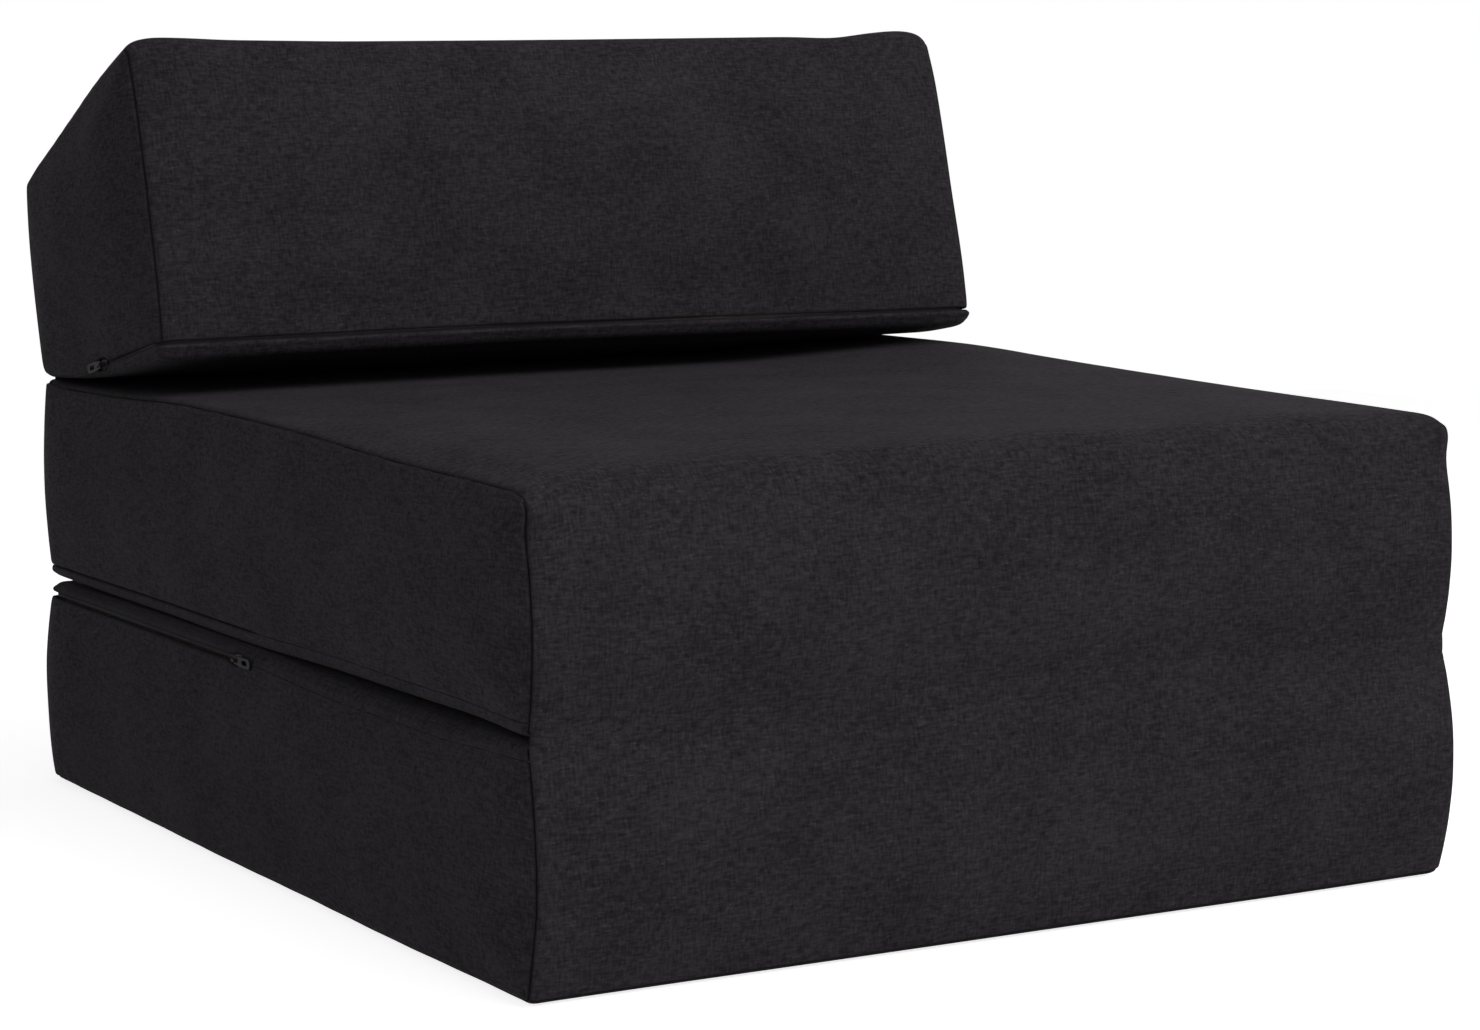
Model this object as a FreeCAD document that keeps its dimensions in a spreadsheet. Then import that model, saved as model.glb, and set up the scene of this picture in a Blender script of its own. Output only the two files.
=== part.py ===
"""A fold-out foam chair bed: two stacked foam blocks and a wedge backrest in zipped covers.

Millimetres. +Z is up, the front of the chair faces -Y, and the origin is on the floor under
the middle of the lower block. The upper block swings forward about the fold at the front, and
the wedge swings back about its hinge at the rear top edge of the upper block.
"""
import FreeCAD, Part
import math
import os
import re
import Sketcher

Vector = FreeCAD.Vector

SIZES = {
    "bed_width": (700, "left to right over the soft sides"),
    "block_depth": (870, "front to rear of each block over the soft ends"),
    "block_thickness": (160, "thickness of each block"),
    "block_gap": (0.6, "air between the two stacked blocks"),
    "side_crown": (5, "how far the left and right faces bulge"),
    "end_crown": (6, "how far the front and rear faces bulge"),
    "seat_crown": (4, "how far the sitting face bulges along its depth"),
    "cross_crown": (2, "extra height in the middle of its width"),
    "rest_crown": (1.5, "bulge of the faces that lie on the floor or on each other"),
    "floor_cut": (0.5, "depth of the flat that the floor presses into the underside"),
    "edge_round": (8, "rounding of the block edges"),
    "fold_round": (3, "rounding of the two edges that meet at the front fold"),
    "nose_round": (28, "large rounding of the front top edge of the seat"),
    "fabric_thickness": (1.3, "upholstery fabric"),
    "foam_gap": (0.4, "slack between the foam and its cover"),
    "wedge_depth": (265, "backrest, along its underside"),
    "wedge_drop": (8, "how far its front edge hangs below its rear edge"),
    "wedge_top_depth": (239.5, "from its back face forward to its top edge"),
    "wedge_back_height": (151.5, "height of its back face"),
    "wedge_front_height": (234.5, "height of its top edge"),
    "wedge_tilt": (8, "how far it leans back at rest, in degrees"),
    "wedge_setback": (5, "its rear lower edge, forward of the seat's rear face"),
    "wedge_bottom_crown": (10, "bulge of its underside"),
    "wedge_slope_crown": (6, "bulge of its sloping pillow face"),
    "wedge_round": (12, "rounding of its edges"),
    "rest_gap": (0.4, "air between the backrest and the seat"),
    "zip_drop": (11, "from the edge of a block to the middle of its zip"),
    "zip_depth": (3.2, "from the flat of a block's side in to the middle of its tape"),
    "wedge_zip_depth": (2.4, "the same for the backrest"),
    "zip_turn": (12, "radius of the zip at a corner"),
    "zip_slot": (8.8, "height of the opening between the cover's lips"),
    "base_zip_run": (415, "length of the lower block's zip along one side"),
    "seat_zip_run": (433, "length of the upper block's zip along one side"),
    "wedge_zip_run": (131, "length of the backrest's zip along one side"),
    "wedge_zip_rise": (6, "height of that zip over the rear lower edge, at the front"),
    "wedge_zip_pitch": (3.3, "slope of that zip to the underside, in degrees"),
    "tape_reach": (5, "from the middle of a zip to the edge of its tape"),
    "tape_thickness": (0.6, "zip tape"),
    "coil_reach": (3, "from the middle of a zip to the outside of its coil"),
    "coil_thickness": (2, "zip coil"),
    "coil_split": (1.4, "running slot between the two coils"),
    "tape_tail": (5, "tape left over beyond the stop"),
    "stop_length": (3, "metal stop at each end of a zip"),
    "slider_length": (13, "zip slider"),
    "slider_width": (7.6, "zip slider"),
    "slider_nose": (1.2, "how much narrower its nose is on each side"),
    "slider_plate": (1.2, "thickness of its upper and lower plates"),
    "slider_play": (0.3, "clearance between the slider and what it runs on"),
    "post_width": (0.8, "wedge between the slider's plates that parts the coils"),
    "post_length": (4.5, "the same, along the zip"),
    "bridge_length": (7.2, "bow on the slider that holds the puller"),
    "bridge_width": (2, "the same, across the zip"),
    "bridge_height": (5.4, "the same, over the upper plate"),
    "bridge_wall": (1, "thickness of the bow"),
    "puller_pin_lift": (3.1, "pivot of the puller over the upper plate"),
    "puller_length": (28, "puller from its pivot to its tip"),
    "puller_width": (7, "puller"),
    "puller_neck": (5.6, "width of its loop end"),
    "puller_thickness": (1.2, "puller"),
    "puller_bar": (1.4, "the end bar that lies under the bow"),
    "puller_window": (6.4, "from its pivot to the far end of the loop"),
    "puller_play": (0.5, "clearance beside the bow"),
    "grip_start": (13, "from its pivot to the grip hole"),
    "grip_length": (10, "length of the oval grip hole"),
    "grip_width": (3.4, "width of the oval grip hole"),
    "web_thickness": (1.2, "fabric strip that hinges the backrest"),
    "web_reach": (16, "how far the strip is sewn up and down from its fold"),
    "web_clear": (0.3, "slack between the strip and the covers"),
}

# How far the middle of a cushion's side is drawn in at its rim, as a share of its thickness
CAP_SHARE = 0.4
# Its bulge in three steps: share of the crown from the side, and share of the drawing-in there
BULGE_STEPS = ((0, 1), (0.2, 0.62), (0.55, 0.32))
# The rounded edge beyond the bulge is drawn in steps of this angle
ROUND_STEP = math.pi / 8

doc = FreeCAD.newDocument("ChairBed")
sheet = doc.addObject("Spreadsheet::Sheet", "Sizes")
parts = []


def fill_sheet():
    """Write each driving size into its own cell with its name as alias."""
    for row, (name, (value, note)) in enumerate(SIZES.items(), start=1):
        sheet.set(f"A{row}", name)
        sheet.set(f"B{row}", str(value))
        sheet.set(f"C{row}", note)
        sheet.setAlias(f"B{row}", name)
    doc.recompute()


def size(name):
    """The current value of one size in the sheet."""
    return float(getattr(sheet, name))


def linked(text):
    """An expression over plain size names, with each name led to the sheet."""
    return re.sub(r"[a-z_]+", lambda word: led(word.group()), text)


def led(word):
    return f"Sizes.{word}" if word in SIZES else word


def bind(thing, prop, text):
    thing.setExpression(prop, linked(text))


def moved(shape_object, placement):
    shape_object.Placement = placement
    return shape_object


def keep(thing, label):
    """Mark an object as a finished piece; its label names its file."""
    thing.Label = label
    parts.append(thing)
    return thing


def spin(axis, degrees):
    return FreeCAD.Placement(Vector(), FreeCAD.Rotation(axis, degrees))


def shift(x, y, z):
    return FreeCAD.Placement(Vector(x, y, z), FreeCAD.Rotation())


# Primitives and booleans bound to the sheet

def box(name, x_span, y_span, z_span, placement=None):
    """A box between three pairs of expressions, optionally set on a placement."""
    solid = doc.addObject("Part::Box", name)
    for prop, (low, high) in (("Length", x_span), ("Width", y_span), ("Height", z_span)):
        bind(solid, prop, f"({high}) - ({low})")
    for axis, (low, _) in (("x", x_span), ("y", y_span), ("z", z_span)):
        bind(solid, f"Placement.Base.{axis}", low)
    if placement is None:
        return solid
    carrier = doc.addObject("Part::Compound", f"{name}_set")
    carrier.Links = [solid]
    return moved(carrier, placement)


def boolean(kind, name, base, tool):
    result = doc.addObject(f"Part::{kind}", name)
    result.Base = base
    result.Tool = tool
    return result


def cut(name, base, tool):
    return boolean("Cut", name, base, tool)


def common(name, base, tool):
    return boolean("Common", name, base, tool)


def fuse(name, base, tool):
    return boolean("Fuse", name, base, tool)


def rounded_end(name, solid, radius):
    """Round the two upright edges of a box at its +Y end."""
    result = doc.addObject("Part::Fillet", name)
    result.Base = solid
    doc.recompute()
    low = solid.Shape.BoundBox
    upright = []
    for number, edge in enumerate(solid.Shape.Edges, start=1):
        room = edge.BoundBox
        if room.ZLength > low.ZLength / 2 and room.YMin > low.Center.y:
            upright.append((number, radius, radius))
    result.Edges = upright
    return result


# Cushion forms, with the sides of a side view numbered bottom, rear, top, front

TOP_SIDE = 2


def inset_polygon(corners, insets):
    """Move each side of a polygon inward; return its corners and the sides' directions."""
    lines = []
    for number, (y, z) in enumerate(corners):
        next_y, next_z = corners[(number + 1) % len(corners)]
        run = math.hypot(next_y - y, next_z - z)
        along = Vector(0, (next_y - y) / run, (next_z - z) / run)
        inward = Vector(0, -along.z, along.y)
        lines.append((Vector(0, y, z) + inward * insets[number], along, inward))
    points = []
    for number, (start, along, _) in enumerate(lines):
        before, before_along, _ = lines[number - 1]
        turn = before_along.y * along.z - before_along.z * along.y
        gap = start - before
        reach = (gap.y * along.z - gap.z * along.y) / turn
        points.append(before + before_along * reach)
    return points, lines


def section(x, form, insets):
    """One closed cross-section of a cushion: bulging sides joined by rounded corners."""
    corners, rounds, crowns = form
    points, lines = inset_polygon(corners, insets)
    across = Vector(x, 0, 0)
    bends = []
    for number, point in enumerate(points):
        back = lines[number - 1][1] * -1
        ahead = lines[number][1]
        half_angle = back.getAngle(ahead) / 2
        drawn_in = (insets[number - 1] + insets[number]) / 2
        radius = max(rounds[number] - drawn_in, size("fold_round") / 2)
        toward = (back + ahead).normalize()
        centre = point + toward * (radius / math.sin(half_angle))
        run = radius / math.tan(half_angle)
        bends.append([across + spot for spot in
                      (point + back * run, centre - toward * radius, point + ahead * run)])
    edges = []
    for number, (start, middle, end) in enumerate(bends):
        following = bends[(number + 1) % len(bends)][0]
        peak = (end + following) * 0.5 - lines[number][2] * crowns[number]
        edges.append(Part.Arc(start, middle, end).toShape())
        edges.append(Part.Arc(end, peak, following).toShape())
    return Part.Wire(edges)


def stations(cap_inset, edge):
    """Distance in from the side and inset of each cross-section, from the side to the middle."""
    crown = size("side_crown")
    rows = [(share * crown, drawn * cap_inset) for share, drawn in BULGE_STEPS]
    for step in (0, 1, 3, 4):
        angle = step * ROUND_STEP
        rows.append((crown + edge * (1 - math.cos(angle)), edge * (1 - math.sin(angle))))
    return rows + [(size("bed_width") / 4, 0)]


def cushion(form, offset, cap_inset, edge, top_side, top_fall):
    """The cushion's solid, drawn in all round by offset and lower at its sides by top_fall."""
    half = size("bed_width") / 2
    rows = [(half - inward - offset, inset + offset)
            for inward, inset in stations(cap_inset, edge - offset)]
    rows = [(-x, inset) for x, inset in rows] + [(0, offset)] + rows[::-1]
    wires = []
    for x, inset in rows:
        insets = [inset] * len(form[0])
        insets[top_side] += top_fall * (x / half) ** 2
        wires.append(section(x, form, insets))
    return Part.makeLoft(wires, True, True)


def form_feature(name, shape):
    feature = doc.addObject("Part::Feature", name)
    feature.Shape = shape
    return feature


def block_form(front_low, front_high, top_crown, pressed):
    """Corners, roundings and bulges of a block's side view, from its lower front corner."""
    front = size("block_depth") / 2 - size("end_crown")
    top = size("block_thickness") - top_crown
    bottom_crown = size("rest_crown")
    low = bottom_crown - pressed
    corners = [(-front, low), (front, low), (front, top), (-front, top)]
    rounds = [front_low, size("edge_round"), size("edge_round"), front_high]
    crowns = [bottom_crown, size("end_crown"), top_crown, size("end_crown")]
    return corners, rounds, crowns


def seat_form():
    return block_form(size("fold_round"), size("nose_round"), size("seat_crown"), 0)


def wedge_form():
    """The same for the backrest in its own frame: +Y forward, its rear lower edge at zero."""
    corners = [(0, 0), (size("wedge_depth"), -size("wedge_drop")),
               (size("wedge_top_depth"), size("wedge_front_height")),
               (0, size("wedge_back_height"))]
    rounds = [size("wedge_round")] * 4
    crowns = [size("wedge_bottom_crown"), size("end_crown"),
              size("wedge_slope_crown"), size("end_crown")]
    return corners, rounds, crowns


def skin_and_foam(name, form, height, edge, top_fall=0):
    """The outside and the inside of a cover, and the foam that fills it."""
    cover = size("fabric_thickness")
    slack = cover + size("foam_gap")
    return [form_feature(f"{name}_{label}",
                         cushion(form, offset, CAP_SHARE * height, edge, TOP_SIDE, top_fall))
            for label, offset in (("outer", 0), ("inner", cover), ("fill", slack))]


# Zips, each built flat in its own frame: +Y toward the closed end of its U, +Z its width

EVERYWHERE = ("-bed_width", "bed_width")
FULL_DEPTH = ("-block_depth", "block_depth")
SLIT = "tape_thickness / 2 + slider_play"
PLATE = "coil_thickness / 2 + slider_play"
TOP_OF_PLATE = f"({PLATE} + slider_plate)"
COIL_START = "tape_tail + stop_length"


def half_zip(depth):
    """How far the middle of the tape lies from the chair's middle on each side."""
    return f"(bed_width / 2 - side_crown - {depth})"


def u_ring(name, start, depth, outward, inward, reach):
    """A U-shaped band along the zip between two offsets from the middle of its tape."""
    walls = []
    half = half_zip(depth)
    for label, offset, extra in (("out", outward, "0"), ("in", f"-({inward})", "zip_turn")):
        block = box(f"{name}_{label}",
                    (f"-{half} - ({offset})", f"{half} + ({offset})"),
                    (f"{start} - ({extra})", f"{offset} - {depth}"),
                    (f"-({reach}) - ({extra})", f"{reach} + {extra}"))
        radius = size("zip_turn") + value_of(offset)
        walls.append(rounded_end(f"{name}_{label}_round", block, radius))
    return cut(name, *walls)


def value_of(text):
    """The number that an expression over size names stands for."""
    probe = doc.addObject("Part::Box", "probe")
    bind(probe, "Placement.Base.x", text)
    doc.recompute()
    value = probe.Placement.Base.x
    doc.removeObject(probe.Name)
    return value


def zip_pieces(name, run, depth, place):
    """Tape, coils and stops of one zip."""
    start = f"-{run}"
    tape_band = u_ring(f"{name}_tape_band", start, depth, "tape_thickness / 2",
                       "tape_thickness / 2", "tape_reach")
    channel = box(f"{name}_tape_slot", EVERYWHERE, FULL_DEPTH, ("-coil_reach", "coil_reach"))
    keep(moved(cut(f"{name}_tape", tape_band, channel), place), f"{name}_zip_tape")
    coil_band = u_ring(f"{name}_coil_band", f"{start} + {COIL_START}", depth,
                       "coil_thickness / 2", "coil_thickness / 2", "coil_reach")
    split = box(f"{name}_coil_slot", EVERYWHERE, FULL_DEPTH,
                ("-coil_split / 2", "coil_split / 2"))
    keep(moved(cut(f"{name}_coil", coil_band, split), place), f"{name}_zip_coil")
    stops = []
    for side, sign in (("a", "-"), ("b", "")):
        middle = f"{sign}{half_zip(depth)}"
        stops.append(box(f"{name}_stop_{side}",
                         (f"{middle} - coil_thickness / 2", f"{middle} + coil_thickness / 2"),
                         (f"{start} + tape_tail", f"{start} + {COIL_START}"),
                         ("-coil_reach", "coil_reach")))
    pair = doc.addObject("Part::Compound", f"{name}_stops")
    pair.Links = stops
    keep(moved(pair, place), f"{name}_zip_stops")


def zip_tools(name, run, depth, place):
    """The opening between the cover's lips, and the groove in the foam behind the zip."""
    start = f"-{run}"
    slot = box(f"{name}_lips", EVERYWHERE, (start, "block_depth"),
               ("-zip_slot / 2", "zip_slot / 2"), place)
    groove = u_ring(f"{name}_groove_band", f"{start} - slider_play", depth, "block_thickness",
                    f"{TOP_OF_PLATE} + slider_play", "tape_reach + slider_play")
    return slot, moved(groove, place)


# Sketches with every corner tied to the sheet

def origin_plane(body, role):
    for plane in body.Origin.OriginFeatures:
        if plane.Role == role:
            return plane
    raise ValueError(role)


def new_sketch(body, name, role, lift="0"):
    sketch = body.newObject("Sketcher::SketchObject", name)
    sketch.AttachmentSupport = [(origin_plane(body, role), "")]
    sketch.MapMode = "FlatFace"
    bind(sketch, "AttachmentOffset.Base.z", lift)
    return sketch


def tie(sketch, geometry, end, across, up):
    """Hold one point of a sketch at two expressions measured from its origin."""
    for kind, text in (("DistanceX", across), ("DistanceY", up)):
        value = value_of(text)
        if abs(value) < 1e-9:
            line = -2 if kind == "DistanceX" else -1
            sketch.addConstraint(Sketcher.Constraint("PointOnObject", geometry, end, line))
        elif value > 0:
            number = sketch.addConstraint(
                Sketcher.Constraint(kind, -1, 1, geometry, end, value))
            bind(sketch, f"Constraints[{number}]", text)
        else:
            number = sketch.addConstraint(
                Sketcher.Constraint(kind, geometry, end, -1, 1, -value))
            bind(sketch, f"Constraints[{number}]", f"-({text})")


def outline(sketch, corners):
    """A closed outline through corners given as pairs of expressions."""
    spots = [Vector(value_of(across), value_of(up), 0) for across, up in corners]
    numbers = []
    for number, spot in enumerate(spots):
        line = Part.LineSegment(spot, spots[(number + 1) % len(spots)])
        numbers.append(sketch.addGeometry(line, False))
    for number, geometry in enumerate(numbers):
        following = numbers[(number + 1) % len(numbers)]
        sketch.addConstraint(Sketcher.Constraint("Coincident", geometry, 2, following, 1))
    for geometry, (across, up) in zip(numbers, corners):
        tie(sketch, geometry, 1, across, up)


def rectangle(sketch, low, high, bottom, top):
    outline(sketch, [(low, bottom), (high, bottom), (high, top), (low, top)])


def disc(sketch, across, up, radius):
    centre = Vector(value_of(across), value_of(up), 0)
    circle = Part.Circle(centre, Vector(0, 0, 1), value_of(radius))
    geometry = sketch.addGeometry(circle, False)
    tie(sketch, geometry, 3, across, up)
    number = sketch.addConstraint(Sketcher.Constraint("Radius", geometry, value_of(radius)))
    bind(sketch, f"Constraints[{number}]", radius)


def pad(body, name, sketch, length, symmetric=False):
    feature = body.newObject("PartDesign::Pad", name)
    feature.Profile = sketch
    feature.Midplane = symmetric
    bind(feature, "Length", length)
    doc.recompute()
    return feature


def pocket(body, name, sketch, length):
    """Cut a sketch away over a length centred on its plane, and see that it cut something."""
    before = body.Shape.Volume
    feature = body.newObject("PartDesign::Pocket", name)
    feature.Profile = sketch
    feature.Midplane = True
    bind(feature, "Length", length)
    doc.recompute()
    if body.Shape.Volume >= before:
        raise ValueError(f"{name} removed nothing")
    return feature


def new_body(name):
    return doc.addObject("PartDesign::Body", name)


# Slider and puller, built with +X toward the puller's tip and +Z out of the cover

def slider_body(name):
    body = new_body(f"{name}_slider_body")
    plates = new_sketch(body, f"{name}_plates", "XY_Plane", f"-{TOP_OF_PLATE}")
    half = "slider_width / 2"
    nose = f"{half} - slider_nose"
    end = "slider_length / 2"
    shoulder = "slider_length / 2 - slider_nose"
    outline(plates, [(f"-{end}", f"-({nose})"), ("0", f"-{half}"), (shoulder, f"-{half}"),
                     (end, f"-({nose})"), (end, nose), (shoulder, half), ("0", half),
                     (f"-{end}", nose)])
    pad(body, f"{name}_block", plates, f"2 * {TOP_OF_PLATE}")
    channels = new_sketch(body, f"{name}_channels", "YZ_Plane")
    wall = "coil_reach + slider_play"
    for sign in ("", "-"):
        outline(channels, [
            (f"{sign}post_width / 2", f"-({PLATE})"), (f"{sign}({wall})", f"-({PLATE})"),
            (f"{sign}({wall})", f"-({SLIT})"), (f"{sign}slider_width", f"-({SLIT})"),
            (f"{sign}slider_width", SLIT), (f"{sign}({wall})", SLIT),
            (f"{sign}({wall})", PLATE), (f"{sign}post_width / 2", PLATE)])
    pocket(body, f"{name}_run", channels, "2 * slider_length")
    throat = new_sketch(body, f"{name}_throat", "XZ_Plane")
    post_end = f"({end} - slider_nose)"
    rectangle(throat, "-slider_length", f"{post_end} - post_length", f"-({PLATE})", PLATE)
    rectangle(throat, post_end, "slider_length", f"-({PLATE})", PLATE)
    pocket(body, f"{name}_clear", throat, "slider_width / 2")
    bow = new_sketch(body, f"{name}_bow", "XZ_Plane")
    foot = "bridge_length / 2"
    crest = "bridge_length / 2 - bridge_wall"
    sunk = f"{TOP_OF_PLATE} - slider_plate / 2"
    high = f"{TOP_OF_PLATE} + bridge_height"
    outline(bow, [
        (f"-{foot}", sunk), (f"-({crest})", high), (crest, high), (foot, sunk),
        (f"{foot} - bridge_wall", sunk), (f"{crest} - bridge_wall", f"{high} - bridge_wall"),
        (f"-({crest} - bridge_wall)", f"{high} - bridge_wall"),
        (f"-({foot} - bridge_wall)", sunk)])
    pad(body, f"{name}_bridge", bow, "bridge_width", symmetric=True)
    return body


def puller_body(name):
    body = new_body(f"{name}_puller_body")
    lift = f"{TOP_OF_PLATE} + puller_pin_lift"
    plate = new_sketch(body, f"{name}_tab", "XY_Plane", f"{lift} - puller_thickness / 2")
    neck = "puller_neck / 2"
    half = "puller_width / 2"
    chamfer = "puller_width / 4"
    outline(plate, [
        ("-puller_bar / 2", f"-{neck}"), ("puller_window", f"-{neck}"),
        ("puller_window + puller_bar", f"-{half}"),
        (f"puller_length - {chamfer}", f"-{half}"), ("puller_length", f"-({half} - {chamfer})"),
        ("puller_length", f"{half} - {chamfer}"), (f"puller_length - {chamfer}", half),
        ("puller_window + puller_bar", half), ("puller_window", neck),
        ("-puller_bar / 2", neck)])
    pad(body, f"{name}_plate", plate, "puller_thickness")
    window = new_sketch(body, f"{name}_window", "XY_Plane", lift)
    rectangle(window, "puller_bar / 2", "puller_window", "-bridge_width / 2 - puller_play",
              "bridge_width / 2 + puller_play")
    pocket(body, f"{name}_loop", window, "2 * puller_thickness")
    grip = new_sketch(body, f"{name}_grip", "XY_Plane", lift)
    first = "grip_start + grip_width / 2"
    last = "grip_start + grip_length - grip_width / 2"
    rectangle(grip, first, last, "-grip_width / 2", "grip_width / 2")
    pocket(body, f"{name}_oval", grip, "2 * puller_thickness")
    ends = new_sketch(body, f"{name}_ends", "XY_Plane", lift)
    disc(ends, first, "0", "grip_width / 2")
    disc(ends, last, "0", "grip_width / 2")
    pocket(body, f"{name}_oval_ends", ends, "2 * puller_thickness")
    return body


def slider_pose(run, depth, side):
    """Slider frame in its zip's frame, at the closed end of the zip on one side."""
    out = FreeCAD.Matrix(0, 0, side, 0,
                         -1, 0, 0, 0,
                         0, -side, 0, 0,
                         0, 0, 0, 1)
    along = -size(run) + value_of(f"{COIL_START} + slider_play + slider_length / 2")
    return shift(side * value_of(half_zip(depth)), along, 0).multiply(FreeCAD.Placement(out))


def slider_and_puller(name, run, depth, side, place):
    pose = place.multiply(slider_pose(run, depth, side))
    keep(moved(slider_body(name), pose), f"{name}_zip_slider")
    keep(moved(puller_body(name), pose), f"{name}_zip_puller")


# The blocks

SIDE_SEAM = "(bed_width / 2 - side_crown - edge_round / 3)"
END_SEAM = "(block_depth / 2 - end_crown - 2 * edge_round / 3)"
BETWEEN_SEAMS = (f"-{SIDE_SEAM}", SIDE_SEAM)


def fit_cover(name, pieces, cover, place):
    """Cut one cover into its sewn panels, each panel with its own region."""
    for label, region in pieces:
        keep(moved(common(f"{name}_{label}_sewn", cover, region), place), f"{name}_{label}")


def pressed_flat(name, solid, level):
    """A cushion form cut flat where the floor presses it."""
    return cut(name, solid, box(f"{name}_floor", EVERYWHERE, FULL_DEPTH,
                                ("-block_thickness", level)))


def lower_block():
    """The lower block: zip under its top edge, flat underside on the floor."""
    place = shift(0, 0, 0)
    form = block_form(size("edge_round"), size("fold_round"), size("rest_crown"),
                      size("floor_cut"))
    outer, inner, fill = skin_and_foam("base", form, size("block_thickness"), size("edge_round"))
    rear = size("block_depth") / 2 - size("end_crown")
    level = size("block_thickness") - size("zip_drop")
    zip_place = shift(0, rear, level)
    slot, groove = zip_tools("base", "base_zip_run", "zip_depth", zip_place)
    cover = cut("base_cover", pressed_flat("base_pressed_outer", outer, "0"),
                pressed_flat("base_pressed_inner", inner, "fabric_thickness"))
    flat_fill = pressed_flat("base_pressed_fill", fill, "fabric_thickness + foam_gap")
    open_cover = cut("base_open_cover", cover, slot)
    lip = "block_thickness - zip_drop + zip_slot / 2"
    half = "block_thickness / 2"
    front = box("base_front_region", BETWEEN_SEAMS, ("-block_depth", f"-{END_SEAM}"),
                ("-block_thickness", "2 * block_thickness"))
    above = box("base_above", EVERYWHERE, FULL_DEPTH, (lip, "2 * block_thickness"))
    pieces = (
        ("top_panel", cut("base_top_region", above, front)),
        ("front_panel", front),
        ("rear_panel", box("base_rear_region", BETWEEN_SEAMS, (END_SEAM, "block_depth"),
                           ("-block_thickness", lip))),
        ("left_panel", box("base_left_region", ("-bed_width", f"-{SIDE_SEAM}"), FULL_DEPTH,
                           ("-block_thickness", lip))),
        ("right_panel", box("base_right_region", (SIDE_SEAM, "bed_width"), FULL_DEPTH,
                            ("-block_thickness", lip))),
        ("bottom_panel", box("base_bottom_region", BETWEEN_SEAMS,
                             (f"-{END_SEAM}", END_SEAM), ("-block_thickness", half))),
    )
    keep(moved(cut("base_grooved", flat_fill, groove), place), "base_foam")
    fit_cover("base", pieces, open_cover, place)
    zip_pieces("base", "base_zip_run", "zip_depth", place.multiply(zip_place))
    slider_and_puller("base", "base_zip_run", "zip_depth", -1, place.multiply(zip_place))


def upper_block():
    """The seat: its cover runs in one piece over the top and down the front to the fold."""
    place = shift(0, 0, size("block_thickness") + size("block_gap"))
    outer, inner, fill = skin_and_foam("seat", seat_form(), size("block_thickness"),
                                       size("edge_round"), size("cross_crown"))
    rear = size("block_depth") / 2 - size("end_crown")
    zip_place = shift(0, rear, size("zip_drop"))
    slot, groove = zip_tools("seat", "seat_zip_run", "zip_depth", zip_place)
    open_cover = cut("seat_open_cover", cut("seat_cover", outer, inner), slot)
    lip = "zip_drop - zip_slot / 2"
    above = (lip, "2 * block_thickness")
    front = box("seat_front_region", BETWEEN_SEAMS, ("-block_depth", f"-{END_SEAM}"),
                ("-block_thickness", "block_thickness"))
    over = box("seat_over", BETWEEN_SEAMS, ("-block_depth", END_SEAM), above)
    below = box("seat_below", EVERYWHERE, FULL_DEPTH, ("-block_thickness", lip))
    pieces = (
        ("top_panel", fuse("seat_top_region", over, front)),
        ("bottom_panel", cut("seat_bottom_region", below, front)),
        ("rear_panel", box("seat_rear_region", BETWEEN_SEAMS, (END_SEAM, "block_depth"), above)),
        ("left_panel", box("seat_left_region", ("-bed_width", f"-{SIDE_SEAM}"), FULL_DEPTH,
                           above)),
        ("right_panel", box("seat_right_region", (SIDE_SEAM, "bed_width"), FULL_DEPTH, above)),
    )
    keep(moved(cut("seat_grooved", fill, groove), place), "seat_foam")
    fit_cover("seat", pieces, open_cover, place)
    zip_pieces("seat", "seat_zip_run", "zip_depth", place.multiply(zip_place))
    slider_and_puller("seat", "seat_zip_run", "zip_depth", 1, place.multiply(zip_place))


# The backrest

def wedge_pose(lift):
    """The backrest's frame: turned to face forward, leaning back, on the seat's rear edge."""
    rear = size("block_depth") / 2 - size("wedge_setback")
    seat_top = 2 * size("block_thickness") + size("block_gap")
    turned = spin(Vector(0, 0, 1), 180).multiply(spin(Vector(1, 0, 0), size("wedge_tilt")))
    return shift(0, rear, seat_top + lift).multiply(turned)


def resting_lift():
    """How high the backrest's rear lower edge is when its bulging underside meets the seat."""
    seat = section(0, seat_form(), [0] * 4)
    seat.Placement = shift(0, 0, size("block_thickness") + size("block_gap"))
    lift = size("wedge_bottom_crown")
    for _ in range(4):
        wedge = section(0, wedge_form(), [0] * 4)
        wedge.Placement = wedge_pose(lift)
        lift -= wedge.distToShape(seat)[0] - size("rest_gap")
    return lift


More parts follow.
